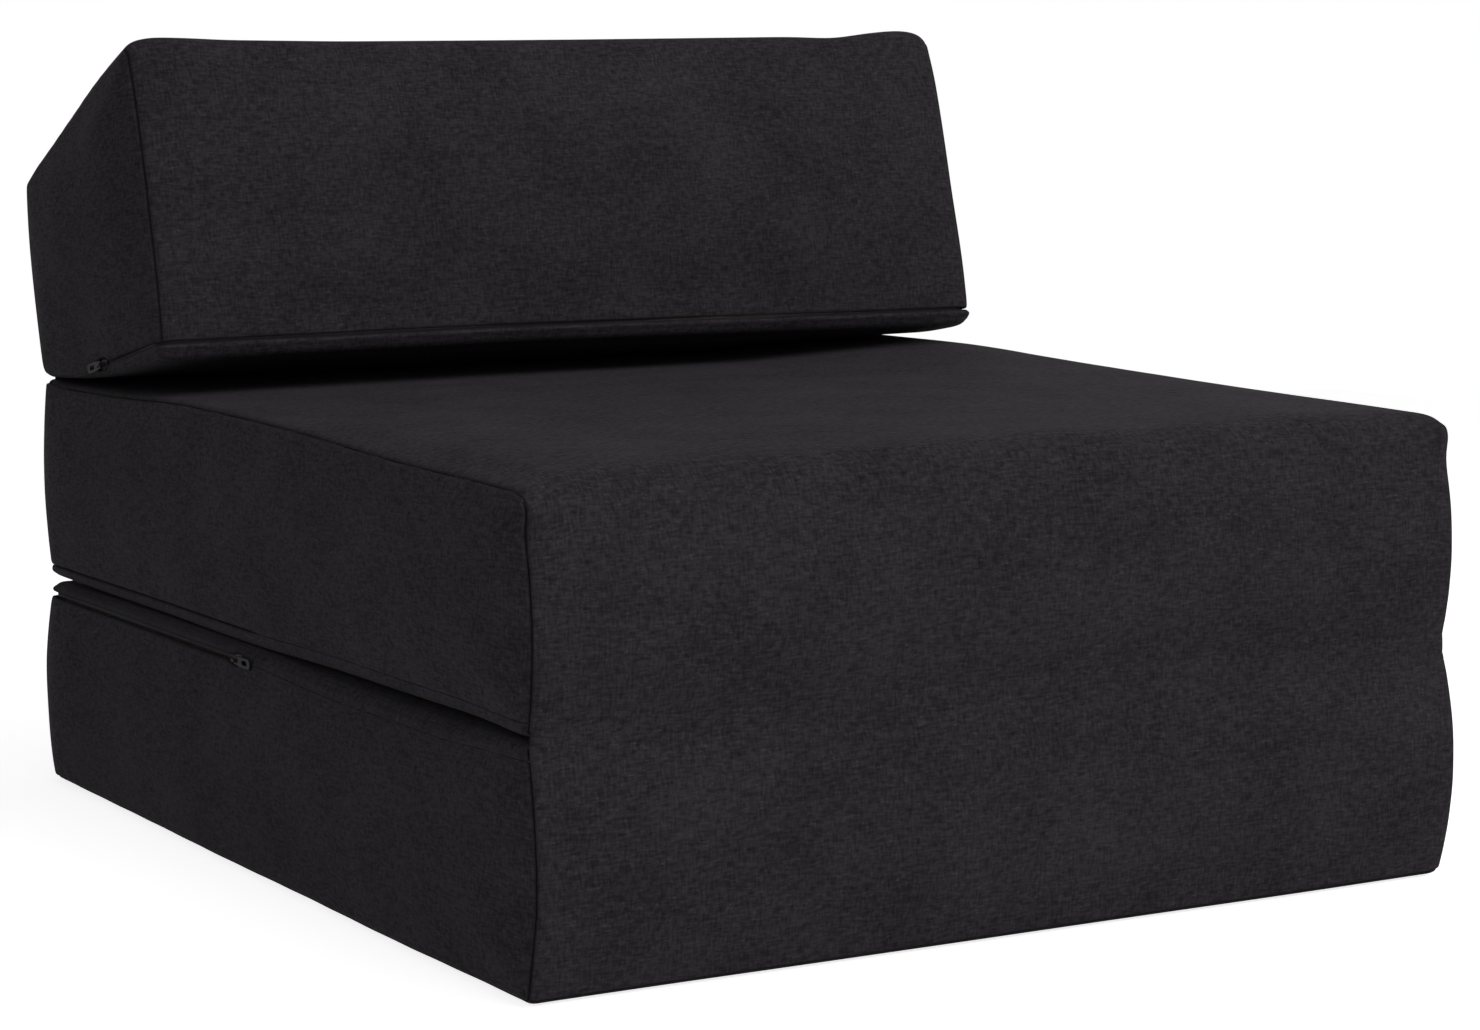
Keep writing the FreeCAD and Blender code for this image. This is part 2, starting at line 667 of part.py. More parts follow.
def backrest(lift):
    place = wedge_pose(lift)
    outer, inner, fill = skin_and_foam("backrest", wedge_form(), size("wedge_back_height"),
                                       size("wedge_round"))
    drop = size("wedge_drop") + size("wedge_zip_rise")
    lean = ((size("wedge_depth") - size("wedge_top_depth"))
            / (size("wedge_front_height") + size("wedge_drop")))
    front = size("wedge_depth") - drop * lean
    zip_place = shift(0, front, size("wedge_zip_rise")).multiply(
        spin(Vector(1, 0, 0), size("wedge_zip_pitch")))
    zip_pose = place.multiply(zip_place)
    slot, groove = zip_tools("backrest", "wedge_zip_run", "wedge_zip_depth", zip_place)
    open_cover = cut("backrest_open_cover", cut("backrest_cover", outer, inner), slot)
    low = "-zip_slot / 2"
    below = box("backrest_below", EVERYWHERE, FULL_DEPTH, ("-block_depth", low), zip_place)
    above = box("backrest_above", EVERYWHERE, FULL_DEPTH, (low, "block_depth"), zip_place)
    rear_strip = box("backrest_rear_strip", BETWEEN_SEAMS,
                     ("wedge_round / 2", "wedge_depth / 2"), ("-block_thickness", "2 * fabric_thickness"))
    bottom = fuse("backrest_bottom_region", below, rear_strip)
    middle = box("backrest_middle", BETWEEN_SEAMS, FULL_DEPTH,
                 ("-block_thickness", "3 * block_thickness"))
    pieces = (
        ("band", cut("backrest_band_region", middle, bottom)),
        ("bottom_panel", bottom),
        ("left_panel", common("backrest_left_region", above,
                              box("backrest_left_box", (SIDE_SEAM, "bed_width"), FULL_DEPTH,
                                  ("-block_depth", "block_depth")))),
        ("right_panel", common("backrest_right_region", above,
                               box("backrest_right_box", ("-bed_width", f"-{SIDE_SEAM}"),
                                   FULL_DEPTH, ("-block_depth", "block_depth")))),
    )
    keep(moved(cut("backrest_grooved", fill, groove), place), "backrest_foam")
    fit_cover("backrest", pieces, open_cover, place)
    zip_pieces("backrest", "wedge_zip_run", "wedge_zip_depth", zip_pose)
    slider_and_puller("backrest", "wedge_zip_run", "wedge_zip_depth", 1, zip_pose)


def rear_point(form, along_side, upward):
    """A point on the bulging face of a form's side, that far along from its upper corner."""
    points, lines = inset_polygon(form[0], [0] * 4)
    start, along, inward = lines[along_side]
    run = (points[(along_side + 1) % 4] - points[along_side]).Length
    share = upward / run
    bulge = 4 * form[2][along_side] * share * (1 - share)
    return start + along * upward - inward * bulge


def hinge_web(lift):
    """The fabric strip sewn to the seat's rear face and to the backrest's back face."""
    slack = size("web_clear")
    seat = seat_form()
    seat_place = shift(0, 0, size("block_thickness") + size("block_gap"))
    seat_run = size("block_thickness") - size("seat_crown") - size("rest_crown")
    wedge = wedge_form()
    wedge_place = wedge_pose(lift)
    wedge_run = size("wedge_back_height")
    reach = size("web_reach")
    edge = size("edge_round")
    wedge_edge = size("wedge_round")
    on_seat = [seat_place.multVec(rear_point(seat, 1, seat_run - back))
               for back in (edge + reach, edge)]
    on_wedge = [wedge_place.multVec(rear_point(wedge, 3, wedge_run - up))
                for up in (wedge_edge, wedge_edge + reach)]
    line = [Vector(0, spot.y + slack, spot.z) for spot in on_seat + on_wedge]
    outside = [Vector(0, spot.y + size("web_thickness"), spot.z) for spot in line]
    ring = line + outside[::-1] + line[:1]
    half = value_of(SIDE_SEAM)
    face = Part.Face(Part.makePolygon([spot - Vector(half, 0, 0) for spot in ring]))
    web = form_feature("backrest_web", face.extrude(Vector(2 * half, 0, 0)))
    keep(web, "backrest_hinge_web")


def check_document():
    """Stop if any feature failed or any finished piece is empty or invalid."""
    doc.recompute()
    for thing in doc.Objects:
        for word in thing.State:
            if word in ("Invalid", "Error"):
                raise ValueError(f"{thing.Name} is {word}")
    for piece in parts:
        if piece.Shape.isNull() or not piece.Shape.isValid() or piece.Shape.Volume <= 0:
            raise ValueError(f"{piece.Label} has no valid shape")


def write_parts():
    os.makedirs("parts", exist_ok=True)
    for piece in parts:
        piece.Shape.exportStep(f"parts/{piece.Label}.step")
        room = piece.Shape.BoundBox
        print(f"{piece.Label}: {len(piece.Shape.Solids)} solids, "
              f"{room.XLength:.1f} x {room.YLength:.1f} x {room.ZLength:.1f}")


def main():
    fill_sheet()
    lower_block()
    upper_block()
    lift = resting_lift()
    backrest(lift)
    hinge_web(lift)
    check_document()
    write_parts()
    print(f"the backrest's rear lower edge lies {lift:.3f} over the seat's crown")


main()
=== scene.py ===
"""A fold-out chair bed in charcoal linen: covers, foam, zips, stage and camera over the frame."""
import logging
import math
from dataclasses import dataclass, field
from enum import Enum
from typing import Any, Callable, Sequence

import bpy
import numpy as np
from mathutils import Matrix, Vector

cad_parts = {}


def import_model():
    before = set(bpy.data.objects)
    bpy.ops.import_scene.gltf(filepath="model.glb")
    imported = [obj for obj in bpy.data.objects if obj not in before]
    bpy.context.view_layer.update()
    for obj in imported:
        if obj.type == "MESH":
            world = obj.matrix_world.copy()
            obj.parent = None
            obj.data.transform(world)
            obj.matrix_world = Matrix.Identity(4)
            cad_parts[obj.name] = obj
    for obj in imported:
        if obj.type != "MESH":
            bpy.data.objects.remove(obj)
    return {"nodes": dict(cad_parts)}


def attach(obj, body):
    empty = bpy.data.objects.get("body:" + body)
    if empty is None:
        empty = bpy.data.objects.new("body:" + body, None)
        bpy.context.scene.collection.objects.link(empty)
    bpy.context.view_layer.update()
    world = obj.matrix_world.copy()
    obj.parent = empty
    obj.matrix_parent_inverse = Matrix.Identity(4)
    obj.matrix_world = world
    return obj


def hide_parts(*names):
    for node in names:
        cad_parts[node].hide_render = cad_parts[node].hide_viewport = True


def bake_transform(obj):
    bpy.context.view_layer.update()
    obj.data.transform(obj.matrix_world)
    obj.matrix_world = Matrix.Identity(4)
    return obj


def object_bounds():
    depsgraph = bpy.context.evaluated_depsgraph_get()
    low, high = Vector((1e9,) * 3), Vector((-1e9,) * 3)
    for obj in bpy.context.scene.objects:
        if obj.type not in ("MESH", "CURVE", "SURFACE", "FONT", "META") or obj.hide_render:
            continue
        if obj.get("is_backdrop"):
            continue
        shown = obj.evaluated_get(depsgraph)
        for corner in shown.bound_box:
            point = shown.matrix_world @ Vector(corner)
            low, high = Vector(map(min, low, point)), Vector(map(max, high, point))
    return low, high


LOG = logging.getLogger("chair bed")
MM = 0.001
SEWN = (True, True, True, True)
FAR = 1e3
WELD = 50

Grid = np.ndarray


class Side(Enum):
    """Sides of a cushion's outline, in the order in which its cover runs round it."""

    BOTTOM = 0
    ZIP = 1
    TOP = 2
    PLAIN = 3


class Hold(Enum):
    """What holds a cover's cloth."""

    STRETCHED = "stretched"


# Shader maths


class Value:
    """A shader socket whose operators add Math nodes."""

    def __init__(self, graph: "Graph", socket: Any) -> None:
        """Wrap one output socket of a graph."""
        self.graph = graph
        self.socket = socket

    def __add__(self, other: Any) -> "Value":
        """Add."""
        return self.graph.math("ADD", self, other)

    __radd__ = __add__

    def __sub__(self, other: Any) -> "Value":
        """Subtract."""
        return self.graph.math("SUBTRACT", self, other)

    def __rsub__(self, other: Any) -> "Value":
        """Subtract from a number."""
        return self.graph.math("SUBTRACT", other, self)

    def __mul__(self, other: Any) -> "Value":
        """Multiply."""
        return self.graph.math("MULTIPLY", self, other)

    __rmul__ = __mul__

    def other(self, output: int | str) -> "Value":
        """Another output of the same node."""
        return Value(self.graph, self.socket.node.outputs[output])


class Graph:
    """The node tree of one material or world."""

    def __init__(self, tree: Any) -> None:
        """Keep a node tree, emptied of its nodes."""
        self.tree = tree
        tree.nodes.clear()

    def node(self, kind: str, settings: dict | None = None, inputs: dict | None = None,
             output: int | str = 0) -> Value:
        """Add one node.

        Args:
            kind: The node's type.
            settings: Its properties, set before its sockets.
            inputs: Values or links of its sockets, by name or number.
            output: The socket that is handed back.

        Returns:
            The chosen output.
        """
        made = self.tree.nodes.new(kind)
        for key, value in (settings or {}).items():
            setattr(made, key, value)
        for key, value in (inputs or {}).items():
            if isinstance(value, Value):
                self.tree.links.new(value.socket, made.inputs[key])
            else:
                made.inputs[key].default_value = value
        return Value(self, made.outputs[output] if len(made.outputs) else None)

    def math(self, operation: str, *terms: Any) -> Value:
        """One Math node on values or numbers."""
        return self.node("ShaderNodeMath", {"operation": operation}, dict(enumerate(terms)))

    def smooth(self, value: Value, low: float, high: float) -> Value:
        """Rise softly from 0 where the value is low to 1 where it is high."""
        return self.node("ShaderNodeMapRange", {"interpolation_type": "SMOOTHSTEP"},
                         {"Value": value, "From Min": low, "From Max": high})

    def blend(self, factor: Value, first: Any, second: Any) -> Value:
        """Mix two colours; a factor of 0 gives the first and 1 the second."""
        return self.node("ShaderNodeMix", {"data_type": "RGBA"}, {0: factor, 6: first, 7: second}, 2)

    def stretched(self, across: Value, along: Value, seed: float = 0.0) -> Value:
        """Join two coordinates into one vector for a texture."""
        return self.node("ShaderNodeCombineXYZ", None, {0: across, 1: along, 2: seed})

    def noise(self, vector: Value, scale: float = 1.0, detail: float = 2.0) -> Value:
        """Noise from 0 to 1, with a number of finer layers."""
        return self.node("ShaderNodeTexNoise", {"noise_dimensions": "3D"},
                         {"Vector": vector, "Scale": scale, "Detail": detail})

    def bump(self, height: Value, strength: float, distance: float) -> Value:
        """Turn a height into a normal; a height of 1 is that distance in metres."""
        return self.node("ShaderNodeBump", None,
                         {"Height": height, "Strength": strength, "Distance": distance})

    def surface(self, inputs: dict) -> None:
        """End the tree in one Principled shader."""
        shader = self.node("ShaderNodeBsdfPrincipled", None, inputs)
        self.node("ShaderNodeOutputMaterial", None, {"Surface": shader})

    def spot(self) -> Value:
        """Object coordinates."""
        return self.node("ShaderNodeTexCoord", None, None, "Object")

    def split(self, vector: Value) -> tuple[Value, ...]:
        """The three parts of a vector."""
        parts = self.node("ShaderNodeSeparateXYZ", None, {0: vector})
        return tuple(parts.other(axis) for axis in range(3))

    def ribs(self, value: Value, count: float) -> Value:
        """A sine that repeats that many times in a metre."""
        return self.math("SINE", value * (count * math.tau))

    def seen(self) -> Value:
        """1 for rays that show a background, and 0 for those that light the object.

        Returns:
            The value for each ray.
        """
        path = self.node("ShaderNodeLightPath")
        camera, glossy, through = (path.other(f"Is {kind} Ray")
                                   for kind in ("Camera", "Glossy", "Transmission"))
        return self.math("MAXIMUM", self.math("MAXIMUM", camera, glossy), through)


def tone(red: float, green: float, blue: float) -> tuple[float, float, float, float]:
    """A colour with full alpha."""
    return red, green, blue, 1.0


# Finishes


@dataclass(frozen=True)
class Finish:
    """A named material; each kind lays out its own nodes."""

    name: str = ""

    def build(self) -> bpy.types.Material:
        """Make the material.

        Returns:
            The new material.
        """
        material = bpy.data.materials.new(self.name)
        material.use_nodes = True
        self.paint(Graph(material.node_tree))
        return material

    def paint(self, g: Graph) -> None:
        """Lay out the nodes of a graph."""
        raise NotImplementedError


@dataclass(frozen=True)
class LinenFinish(Finish):
    """Melange linen-look cloth: uneven crossing yarns between two greys, with painted shade along its
    seams.
    """

    name: str = "charcoal_linen"
    dark: tuple = tone(0.0085, 0.0076, 0.0088)
    light: tuple = tone(0.050, 0.0445, 0.0505)
    slub_across: float = 580.0
    slub_along: float = 150.0
    fleck: float = 1500.0
    cloud: float = 14.0
    glint_across: float = 240.0
    glint_along: float = 640.0
    # Painted seam shade: full within the first distance from a seam, gone by the second, in metres.
    seam_shade_start: float = 0.0002
    seam_shade_end: float = 0.0021
    yarn: float = 1150.0
    relief: float = 0.00035
    parts: tuple = (0.44, 0.48, 0.3, 0.2)
    shaded: tuple = (0.42, 1.0)
    glinting: tuple = (0.62, 0.76)
    shade_part: float = 0.85
    glint_part: float = 0.34
    rough: float = 0.97
    polish: float = 0.16
    specular: float = 0.04

    def paint(self, g: Graph) -> None:
        """Lay out the nodes over the cloth's own coordinates in metres.

        Args:
            g: The node tree of the new material.
        """
        across, along, seam = g.split(
            g.node("ShaderNodeAttribute", {"attribute_name": "cloth"}, None, "Vector"))
        warp = g.noise(g.stretched(across * self.slub_across, along * self.slub_along, 3.1))
        weft = g.noise(g.stretched(across * self.slub_along, along * self.slub_across, 8.7))
        fleck = g.noise(g.stretched(across * self.fleck, along * self.fleck, 5.0), detail=1.0)
        cloud = g.noise(g.stretched(across * self.cloud, along * self.cloud, 1.0))
        glint = g.noise(g.stretched(across * self.glint_across, along * self.glint_along, 12.4),
                        detail=1.0)
        a, b, c, d = self.parts
        mixed = warp * a + weft * b + fleck * c + cloud * d
        shade = (g.smooth(mixed, *self.shaded) * self.shade_part
                 + g.smooth(glint, *self.glinting) * self.glint_part)
        # Painted shade: the colour is pulled towards the dark yarn within about 2 mm of each seam,
        # where the groove's shade falls.
        seam_shade = 1.0 - g.smooth(seam, self.seam_shade_start, self.seam_shade_end)
        colour = g.blend(shade, self.dark, self.light)
        weave = g.ribs(across, self.yarn) * g.ribs(along, self.yarn) * 0.5 + 0.5
        height = weave * 0.45 + warp * 0.3 + weft * 0.3
        g.surface({"Base Color": g.blend(seam_shade * 0.75, colour, self.dark),
                   "Roughness": self.rough - shade * self.polish,
                   "Specular IOR Level": self.specular,
                   "Normal": g.bump(height, 0.55, self.relief)})


@dataclass(frozen=True)
class FoamFinish(Finish):
    """Open-celled cream foam."""

    name: str = "cream_foam"
    pale: tuple = tone(0.78, 0.74, 0.62)
    deep: tuple = tone(0.52, 0.47, 0.36)
    pore: float = 900.0
    cloud: float = 22.0
    relief: float = 0.0006

    def paint(self, g: Graph) -> None:
        """Lay out the nodes from object coordinates.

        Args:
            g: The node tree of the new material.
        """
        spot = g.spot()
        pores = g.node("ShaderNodeTexVoronoi", None, {"Vector": spot, "Scale": self.pore})
        cloud = g.noise(spot, self.cloud)
        g.surface({"Base Color": g.blend(pores * 0.8 + cloud * 0.3, self.deep, self.pale),
                   "Roughness": 0.9 + cloud * 0.08, "Specular IOR Level": 0.2,
                   "Normal": g.bump(pores, 0.5, self.relief)})


@dataclass(frozen=True)
class TapeFinish(Finish):
    """Woven zip tape with a fine herringbone."""

    name: str = "zip_tape_weave"
    dark: tuple = tone(0.0055, 0.0055, 0.006)
    light: tuple = tone(0.017, 0.0165, 0.0175)
    rib: float = 1300.0
    fuzz: float = 700.0
    relief: float = 0.00012

    def paint(self, g: Graph) -> None:
        """Lay out the nodes from object coordinates.

        Args:
            g: The node tree of the new material.
        """
        spot = g.spot()
        x, y, z = g.split(spot)
        ribs = g.ribs(x + y + z, self.rib) * 0.5 + 0.5
        fuzz = g.noise(spot, self.fuzz)
        g.surface({"Base Color": g.blend(ribs * 0.6 + fuzz * 0.4, self.dark, self.light),
                   "Roughness": 0.86 + fuzz * 0.1, "Specular IOR Level": 0.08,
                   "Normal": g.bump(ribs, 0.5, self.relief)})


@dataclass(frozen=True)
class NylonFinish(Finish):
    """Satin nylon of the zip coils."""

    name: str = "coil_nylon"
    dark: tuple = tone(0.006, 0.006, 0.0065)
    light: tuple = tone(0.014, 0.0135, 0.014)
    streak: float = 260.0
    relief: float = 0.0001

    def paint(self, g: Graph) -> None:
        """Lay out the nodes from object coordinates.

        Args:
            g: The node tree of the new material.
        """
        streak = g.noise(g.spot(), self.streak)
        g.surface({"Base Color": g.blend(streak, self.dark, self.light),
                   "Roughness": 0.5 + streak * 0.2, "Specular IOR Level": 0.12,
                   "Normal": g.bump(streak, 0.2, self.relief)})


@dataclass(frozen=True)
class ZincFinish(Finish):
    """Black-lacquered cast zinc with rubbed, slightly brighter patches."""

    name: str = "lacquered_zinc"
    lacquer: tuple = tone(0.009, 0.0087, 0.0092)
    rubbed: tuple = tone(0.024, 0.0233, 0.024)
    patch: float = 170.0
    grain: float = 2400.0
    relief: float = 0.00008

    def paint(self, g: Graph) -> None:
        """Lay out the nodes from object coordinates.

        Args:
            g: The node tree of the new material.
        """
        spot = g.spot()
        rub = g.smooth(g.noise(spot, self.patch, 4.0), 0.5, 0.72)
        grain = g.noise(spot, self.grain)
        g.surface({"Base Color": g.blend(rub, self.lacquer, self.rubbed),
                   "Metallic": rub * 0.1, "Roughness": 0.52 + grain * 0.12 + rub * 0.08,
                   "Specular IOR Level": 0.06, "Normal": g.bump(grain, 0.25, self.relief)})


@dataclass(frozen=True)
class FloorFinish(Finish):
    """A white that glows only where it is seen, so that it keeps soft shadows."""

    name: str = "white_floor"
    dull: tuple = tone(0.80, 0.80, 0.80)
    clean: tuple = tone(0.82, 0.82, 0.82)
    cloud: float = 3.0
    glow: float = 0.8

    def paint(self, g: Graph) -> None:
        """Lay out the nodes from object coordinates.

        Args:
            g: The node tree of the new material.
        """
        seen = g.seen()
        base = g.blend(g.noise(g.spot(), self.cloud), self.dull, self.clean)
        matte = g.node("ShaderNodeBsdfDiffuse", None, {"Color": base})
        glow = g.node("ShaderNodeEmission", None, {"Strength": seen * self.glow})
        both = g.node("ShaderNodeAddShader", None, {0: matte, 1: glow})
        g.node("ShaderNodeOutputMaterial", None, {"Surface": both})


# Grids and curves


def graded(length: float, coarse: float, start: float, end: float) -> Grid:
    """Distances from 0 to a length whose steps grow away from both ends.

    Args:
        length: The whole length.
        coarse: The largest step.
        start: The first step.
        end: The last step.

    Returns:
        The distances.
    """
    def growing(step: float) -> list[float]:
        """Steps that grow up to the coarse one.

        Args:
            step: The first step.

        Returns:
            The steps.
        """
        steps = []
        while step < coarse and sum(steps) < 0.4 * length:
            steps.append(step)
            step *= 1.5
        return steps
    first, last = growing(start), growing(end)
    rest = max(length - sum(first) - sum(last), 0.0)
    count = max(round(rest / coarse), 1)
    steps = np.array(first + [rest / count] * count + last[::-1])
    spots = np.concatenate([[0.0], np.cumsum(steps)])
    return spots / spots[-1] * length


def ease(value: Any, low: float, high: float) -> Grid:
    """Smooth step from 0 at low to 1 at high."""
    t = np.clip((np.asarray(value, float) - low) / (high - low), 0.0, 1.0)
    return t * t * (3.0 - 2.0 * t)


def unit(vector: Grid) -> Grid:
    """A vector made 1 long."""
    return vector / np.linalg.norm(vector)


def arc_lengths(line: Grid) -> Grid:
    """Distance along a line of points to each of them."""
    return np.concatenate([[0], np.cumsum(np.linalg.norm(np.diff(line, axis=0), axis=1))])


def moved_to(place: Grid, local: Grid) -> Grid:
    """Points of a frame in the row frame."""
    return local @ place[:3, :3].T + place[:3, 3]


def paired(first: Grid, second: Grid) -> Grid:
    """Two grids, broadcast to one shape, as the two values of each point."""
    return np.stack(np.broadcast_arrays(first, second), axis=-1)


def spline_weights(spots: Grid, count: int, closed: bool) -> Grid:
    """Cubic spline weights of evenly spaced values.

    Args:
        spots: Where the spline is read, counted in values.
        count: How many values there are.
        closed: Whether the last value runs into the first.

    Returns:
        A matrix with one row for each spot.
    """
    base = np.floor(spots).astype(int)
    t = spots - base
    parts = ((1 - t) ** 3, 3 * t ** 3 - 6 * t ** 2 + 4, -3 * t ** 3 + 3 * t ** 2 + 3 * t + 1, t ** 3)
    weights = np.zeros((len(spots), count))
    for number, part in enumerate(parts):
        index = base - 1 + number
        index = index % count if closed else np.clip(index, 0, count - 1)
        np.add.at(weights, (np.arange(len(spots)), index), part / 6.0)
    return weights


def normalised(vectors: Grid) -> Grid:
    """A grid of vectors, each made 1 long."""
    return vectors / np.maximum(np.linalg.norm(vectors, axis=2, keepdims=True), 1e-9)


def grid_normals(points: Grid, closed: bool = False) -> Grid:
    """Unit normals of a grid of points.

    Args:
        points: Rows by columns by 3.
        closed: Whether the last row runs into the first.

    Returns:
        The normals, in the same layout.
    """
    if closed:
        padded = np.concatenate([points[-1:], points, points[:1]])
        down = (padded[2:] - padded[:-2]) / 2
    else:
        down = np.gradient(points, axis=0)
    return normalised(np.cross(down, np.gradient(points, axis=1)))


def run_along(points: Grid, axis: int) -> Grid:
    """Length from the first row or column to each point along an axis.

    Args:
        points: A grid of points.
        axis: 0 to go down the rows, 1 to go across.

    Returns:
        A length for each point.
    """
    steps = np.linalg.norm(np.diff(points, axis=axis), axis=2)
    shape = [(1, 0), (0, 0)] if axis == 0 else [(0, 0), (1, 0)]
    return np.pad(np.cumsum(steps, axis=axis), shape)


def rim_distance(points: Grid) -> Grid:
    """Distance of each point of a grid from the nearest of its four edges.

    Args:
        points: A grid of points.

    Returns:
        A distance for each point.
    """
    rows, columns = run_along(points, 0), run_along(points, 1)
    return np.minimum(np.minimum(rows, rows[-1:] - rows),
                      np.minimum(columns, columns[:, -1:] - columns))


@dataclass(frozen=True)
class Outline:
    """Side view of a cushion: corners with roundings, and sides that bulge."""

    corners: tuple
    rounds: tuple
    crowns: tuple

    def _corner(self, number: int, inset: float) -> tuple[Grid, Grid, Grid, float, float]:
        """One rounded corner.

        Args:
            number: Which corner.
            inset: How far the outline is drawn in.

        Returns:
            The arc's centre, its first and last point, its radius and the angle it turns.
        """
        count = len(self.corners)
        before, here, after = (np.array(self.corners[(number + k) % count], float)
                               for k in (-1, 0, 1))
        back, ahead = unit(before - here), unit(after - here)
        half = math.acos(float(np.clip(back @ ahead, -1, 1))) / 2
        toward = unit(back + ahead)
        point = here + toward * (inset / math.sin(half))
        radius = max(self.rounds[number % count] - inset, 1.5)
        centre = point + toward * (radius / math.sin(half))
        run = radius / math.tan(half)
        return centre, point + back * run, point + ahead * run, radius, math.pi - 2 * half

    def _arc(self, number: int, shares: Grid, inset: float) -> Grid:
        """Points on a corner's arc.

        Args:
            number: Which corner.
            shares: How far along the arc, from 0 to 1.
            inset: How far the outline is drawn in.

        Returns:
            The points.
        """
        centre, start, _, _, turn = self._corner(number, inset)
        arm = start - centre
        angle = np.asarray(shares) * turn
        c, s = np.cos(angle)[:, None], np.sin(angle)[:, None]
        return centre + arm * c + np.array([-arm[1], arm[0]]) * s

    def lengths(self, side: int) -> tuple[float, float, float]:
        """Lengths of a side's half arc, straight run and last half arc.

        Args:
            side: The side's number, in order round the outline.

        Returns:
            The three lengths.
        """
        _, _, start, first_radius, first_turn = self._corner(side, 0.0)
        _, end, _, last_radius, last_turn = self._corner(side + 1, 0.0)
        return (first_radius * first_turn / 2, float(np.linalg.norm(end - start)),
                last_radius * last_turn / 2)

    def side(self, side: int, fractions: Grid, inset: float = 0.0) -> Grid:
        """Points on a side, from the middle of one rounded corner to the next.

        Args:
            side: Which side.
            fractions: How far along it, from 0 to 1.
            inset: How far the outline is drawn in.

        Returns:
            The points.
        """
        first, straight, last = self.lengths(side)
        run = np.asarray(fractions, float) * (first + straight + last)
        _, _, start, _, _ = self._corner(side, inset)
        _, end, _, _, _ = self._corner(side + 1, inset)
        share = np.clip((run - first) / straight, 0.0, 1.0)
        along = unit(end - start)
        outward = np.array([along[1], -along[0]])
        bulge = 4 * self.crowns[side] * share * (1 - share)
        points = start + (end - start) * share[:, None] + outward * bulge[:, None]
        lead = run < first
        tail = run > first + straight
        points[lead] = self._arc(side, 0.5 + 0.5 * run[lead] / first, inset)
        late = (run[tail] - first - straight) / last
        points[tail] = self._arc(side + 1, 0.5 * late, inset)
        return points


@dataclass(frozen=True)
class Waves:
    """Slow, seeded unevenness of soft goods, the same wherever two pieces meet."""

    seed: int
    length: float
    height: float
    count: int = 7
    share: float = 2.2

    def at(self, points: Grid) -> Grid:
        """Three wave values for each point, in millimetres.

        Args:
            points: Points in the row frame, in millimetres.

        Returns:
            A shift in x, y and z for each point.
        """
        rng = np.random.default_rng(self.seed)
        total = np.zeros(points.shape)
        for _ in range(self.count):
            direction = rng.normal(size=3)
            direction *= math.tau / self.length / np.linalg.norm(direction)
            size = rng.normal(size=3) * self.height / self.share
            total += np.sin(points @ direction + rng.uniform(0, math.tau))[..., None] * size
        return total


# Meshes


@dataclass
class Patch:
    """Part of a cover: a grid of points in millimetres with the cloth's own coordinates."""

    points: Grid
    normals: Grid
    cloth: Grid
    sewn: tuple = SEWN
    seam: Grid = field(default_factory=lambda: np.zeros(0))
    lip: Grid = field(default_factory=lambda: np.zeros(0))

    def measure(self, zipped: int | None = None, slack: Grid | float = 0.0) -> None:
        """Work out how far each point is from the nearest sewn edge, and from the zip.

        Args:
            zipped: Which of the four edges lies along the zip.
            slack: How much farther that edge counts, where a flat seam goes on from the zip.
        """
        rows, columns = run_along(self.points, 0), run_along(self.points, 1)
        reach = (rows, rows[-1:] - rows, columns, columns[:, -1:] - columns)
        self.seam = np.full(rows.shape, FAR)
        for number, (flag, distance) in enumerate(zip(self.sewn, reach)):
            if flag:
                extra = slack if number == zipped else 0.0
                self.seam = np.minimum(self.seam, distance + extra)
        self.lip = self.seam * 0 + FAR if zipped is None else reach[zipped]

    def hemmed(self, depth: float) -> "Patch":
        """The patch with its sewn edges turned in.

        Args:
            depth: How far the turned edge goes in.

        Returns:
            A larger patch.
        """
        points, normals, cloth, seam = self.points, self.normals, self.cloth, self.seam
        for axis, flags in ((0, self.sewn[:2]), (1, self.sewn[2:])):
            for flag, last in zip(flags, (False, True)):
                if not flag:
                    continue
                pick = [slice(None)] * 2
                pick[axis] = slice(-1, None) if last else slice(0, 1)
                inner = [slice(None)] * 2
                inner[axis] = slice(-2, -1) if last else slice(1, 2)
                edge, near = points[tuple(pick)], points[tuple(inner)]
                turned = edge - normals[tuple(pick)] * depth + (near - edge) * 0.3
                stacks = ((points, turned), (normals, normals[tuple(pick)]),
                          (cloth, cloth[tuple(pick)]), (seam, seam[tuple(pick)] * 0))
                points, normals, cloth, seam = (
                    np.concatenate((whole, extra) if last else (extra, whole), axis=axis)
                    for whole, extra in stacks)
        return Patch(points, normals, cloth, (False,) * 4, seam)


def grid_faces(index: Grid, closed: bool = False) -> Grid:
    """Quads of a grid of vertex numbers.

    Args:
        index: Vertex numbers, rows by columns.
        closed: Whether the last row runs into the first.

    Returns:
        Four vertex numbers for each quad.
    """
    if closed:
        index = np.concatenate([index, index[:1]])
    quads = np.stack([index[:-1, :-1], index[1:, :-1], index[1:, 1:], index[:-1, 1:]], axis=-1)
    return quads.reshape(-1, 4)


def welded(grids: Sequence[Grid], closed: Sequence[bool]) -> tuple[Grid, Grid, list[Grid]]:
    """Join grids of points that share borders.

    Args:
        grids: Points, each rows by columns by 3.
        closed: For each grid, whether its last row runs into its first.

    Returns:
        The points, the quads, and each grid's vertex numbers.
    """
    flat = np.concatenate([grid.reshape(-1, 3) for grid in grids])
    _, first, inverse = np.unique(np.round(flat * WELD), axis=0, return_index=True,
                                  return_inverse=True)
    inverse = inverse.reshape(-1)
    indices, start = [], 0
    for grid in grids:
        count = grid.shape[0] * grid.shape[1]
        indices.append(inverse[start:start + count].reshape(grid.shape[:2]))
        start += count
    quads = np.concatenate([grid_faces(index, loop) for index, loop in zip(indices, closed)])
    return flat[first], quads, indices


def put(name: str, data: Any) -> bpy.types.Object:
    """A new object in the scene.

    Args:
        name: Its name.
        data: Its mesh, light or other data.

    Returns:
        The object.
    """
    made = bpy.data.objects.new(name, data)
    bpy.context.scene.collection.objects.link(made)
    return made


